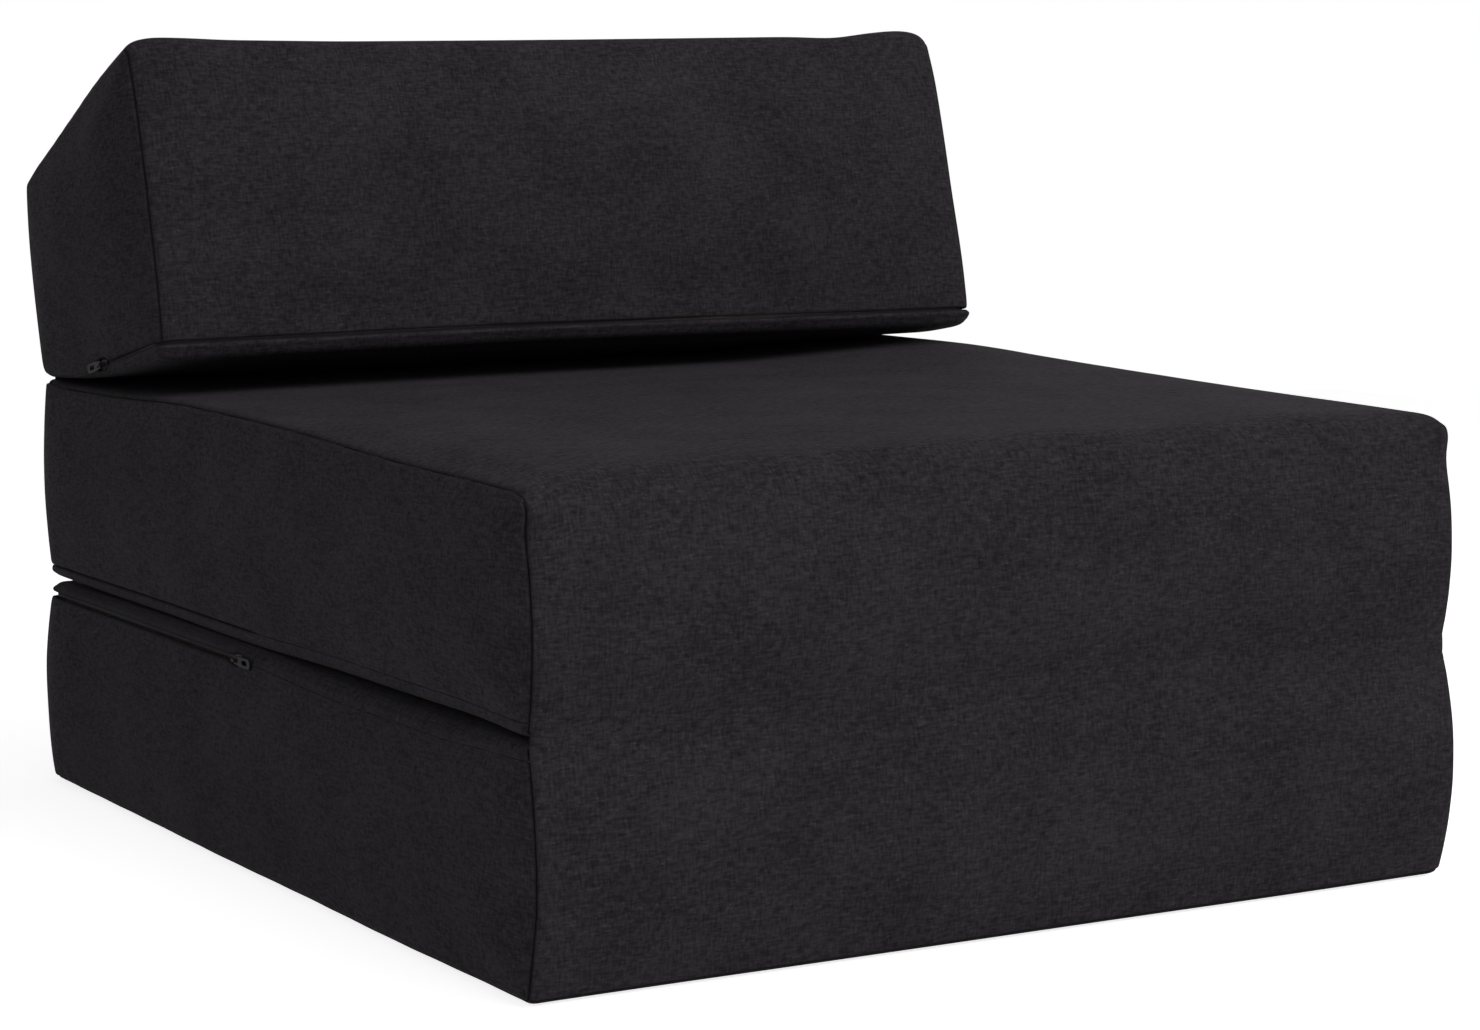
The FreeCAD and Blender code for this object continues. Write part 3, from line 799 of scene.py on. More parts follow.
def new_mesh(name: str, points: Grid, faces: Sequence) -> bpy.types.Object:
    """A smooth-shaded object from points in millimetres.

    Args:
        name: The object's name.
        points: The points in the row frame.
        faces: Vertex numbers of each face.

    Returns:
        The object, in the scene.
    """
    tidy = []
    for face in faces:
        corners = [int(v) for k, v in enumerate(face) if v != face[k - 1]]
        if len(set(corners)) > 2 and len(set(corners)) == len(corners):
            tidy.append(corners)
    mesh = bpy.data.meshes.new(name)
    mesh.from_pydata((np.asarray(points) * MM).tolist(), [], tidy)
    mesh.polygons.foreach_set("use_smooth", [True] * len(mesh.polygons))
    return put(name, mesh)


def sew(name: str, patches: Sequence[Patch], material: bpy.types.Material) -> bpy.types.Object:
    """Make one cover piece, rounded, from patches that share borders.

    Args:
        name: The piece's name.
        patches: Its patches.
        material: Its cloth.

    Returns:
        The piece, with cloth coordinates and seam distance at each of its points.
    """
    points, quads, indices = welded([p.points for p in patches], [False] * len(patches))
    values = np.zeros((len(points), 3))
    for patch, index in zip(patches, indices):
        both = np.concatenate([patch.cloth, patch.seam[..., None]], axis=2)
        values[index.reshape(-1)] = both.reshape(-1, 3)
    made = new_mesh(name, points, quads)
    layer = made.data.attributes.new("cloth", "FLOAT_VECTOR", "POINT")
    layer.data.foreach_set("vector", (values * MM).astype(np.float32).ravel())
    made.data.materials.append(material)
    rounding = made.modifiers.new("rounding", "SUBSURF")
    rounding.levels = rounding.render_levels = 1
    return made


@dataclass(frozen=True)
class Inflation:
    """Air pressure that fills a closed cushion until its cloth is taut."""

    frames: int = 20
    pressure: float = 4.0
    mass: float = 4.0
    stretch: float = 40.0
    shear: float = 10.0
    bend: float = 0.6
    quality: int = 6
    most: float = 3.5

    def run(self, points: Grid, quads: Grid) -> Grid:
        """Swell a closed mesh.

        Args:
            points: Its points in millimetres.
            quads: Its faces.

        Returns:
            How far each point moved outward, in millimetres.
        """
        bag = new_mesh("bag", points, quads)
        normals = np.zeros(len(points) * 3)
        bag.data.vertices.foreach_get("normal", normals)
        cloth = bag.modifiers.new("cloth", "CLOTH")
        for key, value in {"quality": self.quality, "mass": self.mass,
                           "tension_stiffness": self.stretch,
                           "compression_stiffness": self.stretch,
                           "shear_stiffness": self.shear, "bending_stiffness": self.bend,
                           "use_pressure": True, "uniform_pressure_force": self.pressure}.items():
            setattr(cloth.settings, key, value)
        cloth.settings.effector_weights.gravity = 0
        cloth.point_cache.frame_start = 1
        cloth.point_cache.frame_end = self.frames
        for frame_number in range(1, self.frames + 1):
            bpy.context.scene.frame_set(frame_number)
        swollen = bag.evaluated_get(bpy.context.evaluated_depsgraph_get()).to_mesh()
        after = np.zeros(len(points) * 3)
        swollen.vertices.foreach_get("co", after)
        bpy.context.scene.frame_set(1)
        bpy.data.objects.remove(bag)
        moved = after.reshape(-1, 3) / MM - points
        outward = (moved * normals.reshape(-1, 3)).sum(axis=1)
        LOG.info("swelling from %.1f to %.1f mm", outward.min(), outward.max())
        return self.most * np.tanh(outward / np.percentile(np.abs(outward), 90))


@dataclass(frozen=True)
class Stitching:
    """How seams shape the cloth beside them, in millimetres."""

    slack: float = 34.0
    stitch_depth: float = 0.75
    stitch_width: float = 1.1
    dip_depth: float = 0.5
    dip_width: float = 6.0
    lip_spot: float = 2.8
    lip_width: float = 2.0
    pucker_height: float = 0.14
    pucker_rate: float = 0.9
    pucker_width: float = 4.0
    pucker_start: float = 1.5
    pucker_slant: tuple = (0.71, 0.64, 0.57)

    def lift(self, patch: Patch, swell: Grid, roll: float) -> Grid:
        """How far the cloth lies outside its plain form.

        Args:
            patch: A patch with its seam distances.
            swell: How far it would swell without seams.
            roll: How proud the lip beside the zip is.

        Returns:
            A distance for each point.
        """
        lift = swell - (self.stitch_depth * np.exp(-(patch.seam / self.stitch_width) ** 2)
                        + self.dip_depth * np.exp(-(patch.seam / self.dip_width) ** 2))
        return lift + roll * np.exp(-((patch.lip - self.lip_spot) / self.lip_width) ** 2)

    def puckers(self, points: Grid, seam: Grid) -> Grid:
        """Small waves that the thread pulls up beside a seam.

        Args:
            points: Points in the row frame.
            seam: Their distance from the seam.

        Returns:
            A distance for each point.
        """
        wave = np.sin(points @ np.array(self.pucker_slant) * self.pucker_rate)
        wave = wave * np.exp(-(seam / self.pucker_width) ** 2)
        return self.pucker_height * wave * ease(seam, 0.0, self.pucker_start)


@dataclass(frozen=True)
class FoamFit:
    """How the foam lies under its cover, in millimetres."""

    depth: float = 1.75
    groove_depth: float = 7.0
    groove_half: tuple = (5.6, 8.2)
    groove_lead: float = 6.0
    rim: float = 6.0
    quiet: tuple = (4.0, 44.0)
    sunk_depth: float = 3.4
    sunk_width: float = 4.5


@dataclass
class Cushion:
    """A foam block in a zipped cover; its grids run round it and over its two ends."""

    name: str
    outline: Outline
    place: Grid
    zip_height: Callable[[Grid], Grid]
    zip_start: float
    slider_span: tuple
    low_run: float
    high_run: float
    settle: Callable[[Grid], Grid]
    waves: Waves
    outward: tuple
    edge: float = 8.0
    half: float = 353.0
    crown: float = 8.0
    cap: float = 64.0
    fall: float = 0.0
    opening: float = 2.0
    slider_room: float = 4.3
    roll: float = 0.0
    slider_side: int = -1
    end_outward: float = 3.0
    calm: float = 30.0
    long_run: float = 860.0
    coarse: float = 9.5
    fine: float = 0.7
    top_start: float = 60.0
    steadying: int = 40
    sewn_shut: float = 0.04
    fade: float = 7.0
    samples: int = 241
    least: tuple = (0.004, 0.0006)
    trusted: tuple = (0.2, 0.6)
    blunt: float = 4.0
    dome: float = 2.2
    free: float = 2.4
    sim_step: float = 14.0
    sim_rise: float = 13.0
    stitching: Stitching = Stitching()
    fit: FoamFit = FoamFit()

    def __post_init__(self) -> None:
        """Lay out the fine grid and find how far the cloth swells."""
        self.gs, self.low, self.high = (self.spread(run) / run for run in
                                        (self.long_run, self.low_run, self.high_run))
        self.levels = {sign: self.rows(sign) for sign in (-1, 1)}
        self.cs = self.spread(self.width_run())
        self.swell_wrap, self.swell_ends = self.swelling()
        self.wrap = self.wrap_points(self.gs, self.levels[1][-1], self.levels[1][0], self.cs)
        self.ends = {sign: self.end_points(sign, self.gs, self.levels[sign]) for sign in (-1, 1)}
        self.wrap_normals = grid_normals(self.wrap, closed=True)
        self.end_normals = {sign: self.rim_matched(sign) for sign in (-1, 1)}

    def spread(self, length: float) -> Grid:
        """Distances along a run of cloth, close together near its seams."""
        return graded(length, self.coarse, self.fine, self.fine)

    def rim_matched(self, sign: int) -> Grid:
        """Normals of an end that agree with the wrap's along the seam.

        Args:
            sign: Which end.

        Returns:
            The normals, steadied where the end's grid is skewed at its corners.
        """
        points = self.ends[sign]
        own = grid_normals(points) * sign
        down, over = np.gradient(points, axis=0), np.gradient(points, axis=1)
        skew = np.linalg.norm(np.cross(down, over), axis=2) / np.maximum(
            np.linalg.norm(down, axis=2) * np.linalg.norm(over, axis=2), 1e-9)
        trust = ease(skew, *self.trusted)[..., None]
        rim = self.wrap_normals[:, -1 if sign > 0 else 0]
        made = own.copy()
        for _ in range(self.steadying):
            self.set_edge_loop(made, rim)
            padded = np.pad(made, ((1, 1), (1, 1), (0, 0)), mode="edge")
            near = (padded[:-2, 1:-1] + padded[2:, 1:-1] + padded[1:-1, :-2] + padded[1:-1, 2:]) / 4
            made = own * trust + near * (1 - trust)
            made = normalised(made)
        self.set_edge_loop(made, rim)
        return made

    @property
    def flat(self) -> float:
        """Half the width between the rounded edges."""
        return self.half - self.crown - self.edge

    def width_run(self) -> float:
        """Length of cloth from one side seam over the cushion to the other."""
        return 2 * (self.flat + self.edge * math.pi / 4)

    def stations(self, spots: Grid) -> tuple[Grid, Grid]:
        """Where spots across the cloth lie.

        Args:
            spots: Distances from the first side seam.

        Returns:
            Their distance from the middle, and how far the outline is drawn in there.
        """
        half_run = self.width_run() / 2
        across = np.asarray(spots, float) - half_run
        past = np.maximum(np.abs(across) - self.flat, 0.0) / self.edge
        x = np.sign(across) * (np.minimum(np.abs(across), self.flat) + self.edge * np.sin(past))
        return x, self.edge * (1 - np.cos(past))

    def seam_inset(self) -> float:
        """How far the outline is drawn in at the side seams."""
        return self.edge * (1 - math.cos(math.pi / 4))

    def end_flat(self, g: Grid, f: Grid) -> Grid:
        """Points of an end in the side view, between the four sides of its seam.

        Args:
            g: Fractions along the bottom and the top.
            f: Fractions from the bottom to the top.

        Returns:
            The points.
        """
        inset, shape = self.seam_inset(), np.broadcast(g, f).shape
        g, f = np.broadcast_to(g, shape).ravel(), np.broadcast_to(f, shape).ravel()
        sides = [self.outline.side(number, t, inset) for number, t in
                 ((0, g), (1, f), (2, 1 - g), (3, 1 - f))]
        bottom, zipped, top, plain = sides
        ends = self.outline.side(0, np.array([0.0, 1.0]), inset)
        high = self.outline.side(2, np.array([1.0, 0.0]), inset)
        g, f = g[:, None], f[:, None]
        corners = ((1 - g) * (1 - f) * ends[0] + g * (1 - f) * ends[1]
                   + (1 - g) * f * high[0] + g * f * high[1])
        mixed = (1 - f) * bottom + f * top + (1 - g) * plain + g * zipped - corners
        return mixed.reshape(*shape, 2)

    def lip(self, y: Grid, sign: int) -> Grid:
        """Half the opening between the lips of the zip.

        Args:
            y: Places along an end.
            sign: Which end.

        Returns:
            The half opening at each place.
        """
        start, end = self.slider_span
        room = ease(y, start - self.fade, start) * (1 - ease(y, end, end + self.fade))
        room = room * (sign == self.slider_side)
        wide = self.opening + (self.slider_room - self.opening) * room
        return self.sewn_shut + wide * ease(y, self.zip_start - 1, self.zip_start + 9)

    def rows(self, sign: int) -> Grid:
        """Fractions of height of the grid's lines at each place along an end.

        Args:
            sign: 1 for the end at +x of the cushion's frame, -1 for the other.

        Returns:
            A row of fractions for each place.
        """
        f = np.linspace(0, 1, self.samples)
        flat = self.end_flat(self.gs[:, None], f[None, :])
        above = flat[..., 1] - self.zip_height(flat[..., 0])
        width = self.lip(flat[..., 0], sign)
        lower, upper = (np.array([np.interp(0, above[i] + move[i], f)
                                  for i in range(len(self.gs))]) for move in (width, -width))
        lower = np.maximum(lower, self.least[0])[:, None]
        upper = np.maximum(upper[:, None], lower + self.least[1])
        return np.concatenate([lower * self.low, upper + (1 - upper) * self.high], axis=1)

    def placed(self, local: Grid) -> Grid:
        """Points of the cushion's own frame in the row frame."""
        return moved_to(self.place, local)

    def wrap_points(self, gs: Grid, rear: Grid, front: Grid, cs: Grid) -> Grid:
        """The closed wrap round the cushion.

        Args:
            gs: Fractions along the bottom and the top.
            rear: Fractions up the side with the zip.
            front: Fractions up the plain side.
            cs: Distances across the cloth.

        Returns:
            Points in the cushion's frame.
        """
        x, insets = self.stations(cs)
        columns = []
        for spot, inset in zip(x, insets):
            sides = [self.outline.side(number, fractions, inset)[:-1] for number, fractions in
                     ((0, gs), (1, rear), (2, 1 - gs[::-1]), (3, 1 - front[::-1]))]
            column = np.concatenate(sides)
            column[:, 1] -= self.dropped(spot, column[:, 1])
            columns.append(np.column_stack([np.full(len(column), spot), column]))
        return np.stack(columns, axis=1)

    def dropped(self, x: Grid | float, height: Grid) -> Grid:
        """How far the top falls away towards the ends."""
        top = ease(height, self.top_start, self.outline.corners[2][1])
        return self.fall * (x / self.half) ** 2 * top

    def end_points(self, sign: int, gs: Grid, fs: Grid) -> Grid:
        """One bulging end.

        Args:
            sign: -1 or 1 for the side of the frame that it is on.
            gs: Fractions along the bottom and the top.
            fs: Fractions of height, for each of those.

        Returns:
            Points in the cushion's frame.
        """
        flat = self.end_flat(gs[:, None], fs)
        rows, columns = run_along(flat, 0), run_along(flat, 1)
        near = np.stack([rows, rows[-1:] - rows, columns, columns[:, -1:] - columns])
        near = np.maximum(near, 1e-6)
        inward = (near ** -self.blunt).sum(axis=0) ** (-1 / self.blunt)
        inward[near.min(axis=0) <= 1e-5] = 0.0
        drawn = self.seam_inset() + inward
        arc = np.sqrt(np.maximum(self.edge ** 2 - np.maximum(self.edge - drawn, 0) ** 2, 0))
        share = np.clip((drawn - self.edge) / (self.cap - self.edge), 0, 1)
        x = self.flat + arc + self.crown * (1 - (1 - share) ** self.dome)
        flat = flat.copy()
        flat[..., 1] -= self.dropped(np.minimum(x, self.half), flat[..., 1])
        return np.concatenate([(sign * x)[..., None], flat], axis=2)

    def swelling(self) -> tuple[Grid, dict]:
        """Fill an evenly meshed copy with air.

        Returns:
            How far the wrap moved at the fine grid's points, and the same for the two ends.
        """
        first, straight, last = self.outline.lengths(0)
        count_g = round((first + straight + last) / self.sim_step) + 1
        count_f = round(sum(self.outline.lengths(1)) / self.sim_rise) + 1
        count_c = round(self.width_run() / self.sim_step) + 1
        gs, fs = np.linspace(0, 1, count_g), np.linspace(0, 1, count_f)
        wrap = self.wrap_points(gs, fs, fs, np.linspace(0, self.width_run(), count_c))
        tall = np.broadcast_to(fs, (count_g, count_f))
        ends = {sign: self.end_points(sign, gs, tall) for sign in (-1, 1)}
        grids = [wrap, ends[1], ends[-1].transpose(1, 0, 2)]
        points, quads, indices = welded([self.placed(grid) for grid in grids],
                                        [True, False, False])
        moved = Inflation().run(points, quads)
        wrap_moved, right = moved[indices[0]], moved[indices[1]]
        left = moved[indices[2]].T
        rows = self.row_numbers(count_g, count_f)
        total = 2 * (count_g + count_f - 2)
        across = spline_weights(self.cs / self.width_run() * (count_c - 1), count_c, False)
        fine_wrap = spline_weights(rows, total, True) @ wrap_moved @ across.T
        fine_ends = {}
        along = spline_weights(self.gs * (count_g - 1), count_g, False)
        for sign, values in ((1, right), (-1, left)):
            part = along @ values
            levels = self.levels[sign]
            fine = [spline_weights(levels[i] * (count_f - 1), count_f, False) @ part[i]
                    for i in range(len(self.gs))]
            fine_ends[sign] = np.array(fine)
        return fine_wrap, fine_ends

    def row_numbers(self, count_g: int, count_f: int) -> Grid:
        """Rows of the fine wrap counted in rows of an evenly meshed one.

        Args:
            count_g: Its points along the bottom.
            count_f: Its points up a side.

        Returns:
            One number for each row.
        """
        start, rows, levels = 0, [], self.levels[1]
        for fractions, count in ((self.gs, count_g), (levels[-1], count_f),
                                 (1 - self.gs[::-1], count_g), (1 - levels[0][::-1], count_f)):
            rows.append(start + fractions[:-1] * (count - 1))
            start += count - 1
        return np.concatenate(rows)

    def rows_of(self, side: Side) -> Grid:
        """Row numbers of one side in the wrap, with both its corners.

        Args:
            side: The side.

        Returns:
            The row numbers in order.
        """
        long, short = len(self.gs) - 1, self.levels[1].shape[1] - 1
        starts = {Side.BOTTOM: 0, Side.ZIP: long, Side.TOP: long + short,
                  Side.PLAIN: 2 * long + short}
        count = long if side in (Side.BOTTOM, Side.TOP) else short
        return (starts[side] + np.arange(count + 1)) % (2 * (long + short))

    def shaped(self, patch: Patch, swell: Grid, most: Grid | float, calm: Grid) -> Patch:
        """Swell, settle and draw in a patch, and set it in the row frame.

        Args:
            patch: The patch in the cushion's frame, with its seam distances.
            swell: How far the cloth moves out.
            most: How far it may move out.
            calm: Where it keeps still, from 0 at a shared border to 1.

        Returns:
            The patch in the row frame.
        """
        soft = ease(patch.seam, 0.0, self.stitching.slack) * calm
        lift = self.stitching.lift(patch, np.minimum(swell, most) * soft, self.roll)
        points = self.placed(patch.points + patch.normals * lift[..., None])
        normals = patch.normals @ self.place[:3, :3].T
        points += normals * self.stitching.puckers(points, patch.seam)[..., None]
        points += self.drift(points)
        return Patch(points, normals, patch.cloth, patch.sewn, patch.seam, patch.lip)

    def drift(self, points: Grid) -> Grid:
        """How the soft block has settled out of true, for points in the row frame.

        Args:
            points: Points in the row frame, in millimetres.

        Returns:
            A shift for each point.
        """
        waves = self.waves.at(points)
        waves[..., 2] = 0.0
        return waves + self.settle(points)

    def limit(self, rows: Grid) -> Grid:
        """How far out each row of the wrap may swell.

        Args:
            rows: Row numbers of the wrap.

        Returns:
            A column of distances.
        """
        most = np.zeros(len(rows))
        for side in Side:
            most[np.isin(rows, self.rows_of(side))] = self.outward[side.value]
        return most[:, None]

    def wrap_patch(self, rows: Grid, sewn: tuple, zipped: int | None = None) -> Patch:
        """A band of the wrap between two rows.

        Args:
            rows: Its row numbers.
            sewn: Whether its first row, last row and two side edges are sewn.
            zipped: Which of these lies along the zip and has a rolled lip.

        Returns:
            The patch in the row frame.
        """
        points, normals = self.wrap[rows], self.wrap_normals[rows]
        around = arc_lengths(points[:, points.shape[1] // 2])
        start = float(self.arc_of_rows()[rows[0]])
        cloth = paired(self.cs[None] - self.width_run() / 2, start + around[:, None])
        patch = Patch(points, normals, cloth, sewn)
        patch.measure(zipped)
        edges = np.minimum(self.cs, self.width_run() - self.cs)
        return self.shaped(patch, self.swell_wrap[rows], self.limit(rows),
                           ease(edges, 0.0, self.calm)[None])

    def arc_of_rows(self) -> Grid:
        """Distance round the wrap to each of its rows."""
        return arc_lengths(self.wrap[:, self.wrap.shape[1] // 2])

    def end_patch(self, sign: int, lines: slice, sewn: tuple, over: Side | None = None) -> Patch:
        """Part of an end between two of its lines.

        Args:
            sign: Which end.
            lines: The lines that it takes, counted from the bottom.
            sewn: Whether the edges at the front, the rear, the bottom and the top are sewn.
            over: The side whose cloth it goes on from, if it isn't a panel of its own.

        Returns:
            The patch in the row frame.
        """
        points, normals = self.ends[sign][:, lines], self.end_normals[sign][:, lines]
        if over is None:
            cloth = points[..., 1:]
        else:
            tall = run_along(self.ends[sign], 1)
            down = tall[:, -1:] - tall if over is Side.TOP else tall
            arcs = self.arc_of_rows()[self.rows_of(over)[:-1]]
            arcs = np.append(arcs, arcs[-1] + self.fine)
            arcs = arcs[::-1] if over is Side.TOP else arcs
            across = sign * (self.width_run() / 2 + down[:, lines])
            cloth = paired(across, arcs[:, None])
        patch = Patch(points, normals, cloth, sewn)
        start = self.zip_start
        slack = self.free * (1 - ease(points[:, :1, 1], start - 5, start + 6))
        patch.measure(3 if lines.start == 0 else 2, slack)
        if lines.start:
            patch.lip = patch.lip + FAR
        nearest = rim_distance(self.ends[sign])[:, lines]
        made = self.shaped(patch, self.swell_ends[sign][:, lines], self.end_outward,
                           ease(nearest, 0.0, self.calm))
        if sign > 0:
            return made
        order = (sewn[2], sewn[3], sewn[0], sewn[1])
        return Patch(*(grid.transpose(1, 0, 2) for grid in (made.points, made.normals, made.cloth)),
                     order, made.seam.T)

    def lines(self, above: bool) -> slice:
        """Lines of an end above or below the zip."""
        return slice(len(self.low), None) if above else slice(0, len(self.low))

    def core(self) -> tuple[Grid, Grid]:
        """The closed surface of the foam, with a groove behind the zip.

        Returns:
            Points in the row frame, and quads.
        """
        rows = np.arange(len(self.wrap))
        edges = np.minimum(self.cs, self.width_run() - self.cs)[None]
        grids = [self.under(self.wrap, self.wrap_normals, self.swell_wrap, self.limit(rows), edges)]
        for sign in (1, -1):
            grids.append(self.under(self.ends[sign], self.end_normals[sign],
                                    self.swell_ends[sign], self.end_outward,
                                    rim_distance(self.ends[sign])))
        grids[0][:, 0], grids[0][:, -1] = (self.edge_loop(grids[2]), self.edge_loop(grids[1]))
        points, quads, _ = welded([grids[0], grids[1], grids[2].transpose(1, 0, 2)],
                                  [True, False, False])
        return points, quads

    def under(self, points: Grid, normals: Grid, swell: Grid, most: Grid | float,
              edges: Grid) -> Grid:
        """Part of the foam's surface, which follows the cloth over it.

        Args:
            points: The part's grid in the cushion's frame.
            normals: Its normals.
            swell: How far the cloth moves out there.
            most: How far it may move out.
            edges: Distances from the part's rim.

        Returns:
            Points in the row frame.
        """
        fit, from_zip = self.fit, np.abs(points[..., 2] - self.zip_height(points[..., 1]))
        behind = (1 - ease(from_zip, *fit.groove_half)) * ease(
            points[..., 1], self.zip_start - fit.groove_lead, self.zip_start)
        outer = (np.abs(points[..., 0]) > self.flat - fit.rim) | (
            points[..., 1] > self.outline.corners[1][0] - self.edge * 3)
        quiet = ease(from_zip, *fit.quiet)
        lift = np.where(swell > 0, np.minimum(swell, most) * quiet, swell)
        lift = lift * ease(edges, 0.0, self.calm)
        sunk = np.exp(-(np.minimum(edges, from_zip) / fit.sunk_width) ** 2)
        lift = lift - fit.depth - np.maximum(fit.groove_depth * behind,
                                             fit.sunk_depth * sunk) * outer
        placed = self.placed(points + normals * lift[..., None])
        return placed + self.drift(placed)

    @staticmethod
    def edge_loop(end: Grid) -> Grid:
        """The rim of an end, in the order of the wrap's rows."""
        return np.concatenate([end[:-1, 0], end[-1, :-1], end[:0:-1, -1], end[0, :0:-1]])

    @staticmethod
    def set_edge_loop(end: Grid, loop: Grid) -> None:
        """Give the rim of an end new values, in the order of the wrap's rows.

        Args:
            end: The grid of the end, which is changed.
            loop: The values for its rim.
        """
        long, tall = end.shape[0] - 1, end.shape[1] - 1
        end[:-1, 0] = loop[:long]
        end[-1, :-1] = loop[long:long + tall]
        end[:0:-1, -1] = loop[long + tall:2 * long + tall]
        end[0, :0:-1] = loop[2 * long + tall:]


# Zips


@dataclass
class Zip:
    """A coil zip that runs along both ends of a cushion and across one side."""

    cushion: str
    place: Grid
    run: float
    depth: float
    turn: float = 12.0
    pitch: float = 1.55
    half_width: float = 345.0
    lead: float = 8.5
    stations: tuple = ((2.75, -0.15, 0.30), (2.2, 0.42, 0.40), (0.2, 0.52, 0.42),
                       (-0.75, 0.30, 0.36))
    around: int = 5
    flatness: float = 0.92
    softened: tuple = (("stops", 0.35), ("slider", 0.28), ("puller", 0.3))
    sharp: float = 35.0

    def path(self) -> tuple[Grid, Grid]:
        """Evenly spaced spots along the middle of the coil.

        Returns:
            The spots, and the outward directions there.
        """
        half, back = self.half_width - self.depth, -self.depth
        centre = np.array([-half + self.turn, back - self.turn])
        left = [(-half, self.lead - self.run, -1, 0), (-half, back - self.turn, -1, 0)]
        for angle in np.linspace(0, math.pi / 2, 13)[1:]:
            arm = np.array([-math.cos(angle), math.sin(angle)])
            left.append((*(centre + arm * self.turn), *arm))
        line = np.array(left + [(-x, y, -nx, ny) for x, y, nx, ny in left[::-1]])
        length = arc_lengths(line[:, :2])
        spots = np.arange(0, length[-1], self.pitch / 2)
        return tuple(np.column_stack([np.interp(spots, length, line[:, k]) for k in pair])
                     for pair in ((0, 1), (2, 3)))

    def loop(self, start: int) -> list[list[int]]:
        """Faces of one coil loop whose points begin at a number.

        Args:
            start: The number of its first point.

        Returns:
            Its faces, with both its tips.
        """
        n, last = self.around, start + (len(self.stations) - 1) * self.around
        faces = []
        for ring in range(start, last, n):
            for k in range(n):
                a, b = ring + k, ring + (k + 1) % n
                faces.append([a, b, b + n, a + n])
        return faces + [list(range(start, start + n))[::-1], list(range(last, last + n))]

    def coil(self, material: bpy.types.Material) -> None:
        """The two rows of coil loops, locked into each other.

        Args:
            material: Their nylon.
        """
        spots, outward = self.path()
        along = np.column_stack([outward[:, 1], -outward[:, 0]])
        angles = np.arange(self.around) / self.around * math.tau
        points, faces = [], []
        for number, (spot, out, run) in enumerate(zip(spots, outward, along)):
            row = 1 if number % 2 else -1
            faces += [face[::row] for face in self.loop(len(points))]
            for height, proud, radius in self.stations:
                for angle in angles:
                    flat = (spot + run * radius * self.flatness * math.cos(angle)
                            + out * (proud + radius * math.sin(angle)))
                    points.append((flat[0], flat[1], row * height))
        made = new_mesh(f"{self.cushion}_zip_coil_loops", moved_to(self.place, np.array(points)),
                        faces)
        made.data.materials.append(material)
        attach(made, self.cushion)
        stand_for(made, "zip_coil", f"{self.cushion}_zip_coil")

    def dress(self, nodes: dict, tape: bpy.types.Material, metal: bpy.types.Material) -> None:
        """Finish the tape, stops, slider and puller of the frame.

        Args:
            nodes: The frame's nodes.
            tape: The woven tape's material.
            metal: The metal parts' material.
        """
        finish(nodes[f"{self.cushion}_zip_tape"], tape)
        for part, width in self.softened:
            node = nodes[f"{self.cushion}_zip_{part}"]
            finish(node, metal)
            edges = node.modifiers.new("edges", "BEVEL")
            edges.width = width * MM
            edges.segments = 2
            edges.limit_method = "ANGLE"
            edges.angle_limit = math.radians(self.sharp)


def finish(node: bpy.types.Object, material: bpy.types.Material) -> None:
    """Give a node of the frame another material.

    Args:
        node: The node's object.
        material: The material.
    """
    if not node.material_slots:
        node.data.materials.append(material)
    for held in node.material_slots:
        held.material = material


# The chair bed


@dataclass
class Workshop:
    """Everything that the covers are made with."""

    nodes: dict
    linen: bpy.types.Material
    foam: bpy.types.Material
    tape: bpy.types.Material
    nylon: bpy.types.Material
    metal: bpy.types.Material
    hem: float = 1.5
    fill: float = 0.95

    def cover(self, cushion: str, part: str, patches: Sequence[Patch], node: str = "") -> None:
        """Args:
            cushion: The cushion's name, which its body has too.
            part: The name of the part of its cover.
            patches: The piece's patches.
            node: The node that it replaces, where that isn't the panel of the same name.
        """
        made = sew(f"{cushion}_{part}_cover", [patch.hemmed(self.hem) for patch in patches],
                   self.linen)
        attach(made, cushion)
        stand_for(made, "upholstery", node or f"{cushion}_{part}_panel")

    def ends(self, cushion: Cushion, above: bool, left: int = -1) -> None:
        """Cover both ends above or below the zip; left is the sign of the left one."""
        for sign, part in ((left, "left"), (-left, "right")):
            self.cover(cushion.name, part, [cushion.end_patch(sign, cushion.lines(above), SEWN)])

    def lid(self, cushion: Cushion, over: Side, zipped: int | None = None) -> None:
        """Cover the top or the bottom, with narrow strips that run round it to the zip.

        Args:
            cushion: The cushion.
            over: The side that is covered.
            zipped: Which edge has a rolled lip.
        """
        top, zip_rows, low = over is Side.TOP, cushion.rows_of(Side.ZIP), len(cushion.low)
        rows = [zip_rows[low:-1], cushion.rows_of(over)] if top else [
            cushion.rows_of(over), zip_rows[1:low]]
        patches = [cushion.wrap_patch(np.concatenate(rows), (True, True, False, False), zipped)]
        patches += [cushion.end_patch(sign, cushion.lines(top), (True, False, top, not top), over)
                    for sign in (-1, 1)]
        self.cover(cushion.name, over.name.lower(), patches)

    def core(self, cushion: Cushion) -> None:
        """The foam inside a cover.

        Args:
            cushion: The cushion that it fills.
        """
        points, quads = cushion.core()
        made = new_mesh(f"{cushion.name}_foam_core", points, quads)
        made.data.materials.append(self.foam)
        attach(made, cushion.name)
        stand_for(made, "foam", f"{cushion.name}_foam")


def stand_for(made: bpy.types.Object, slot: str, *nodes: str) -> None:
    """Put a piece in the place of nodes of the frame.

    Args:
        made: The piece.
        slot: Its material slot; not used.
        nodes: The nodes' names.
    """
    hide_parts(*nodes)
    LOG.info("%s: %d points", made.name, len(made.data.vertices))


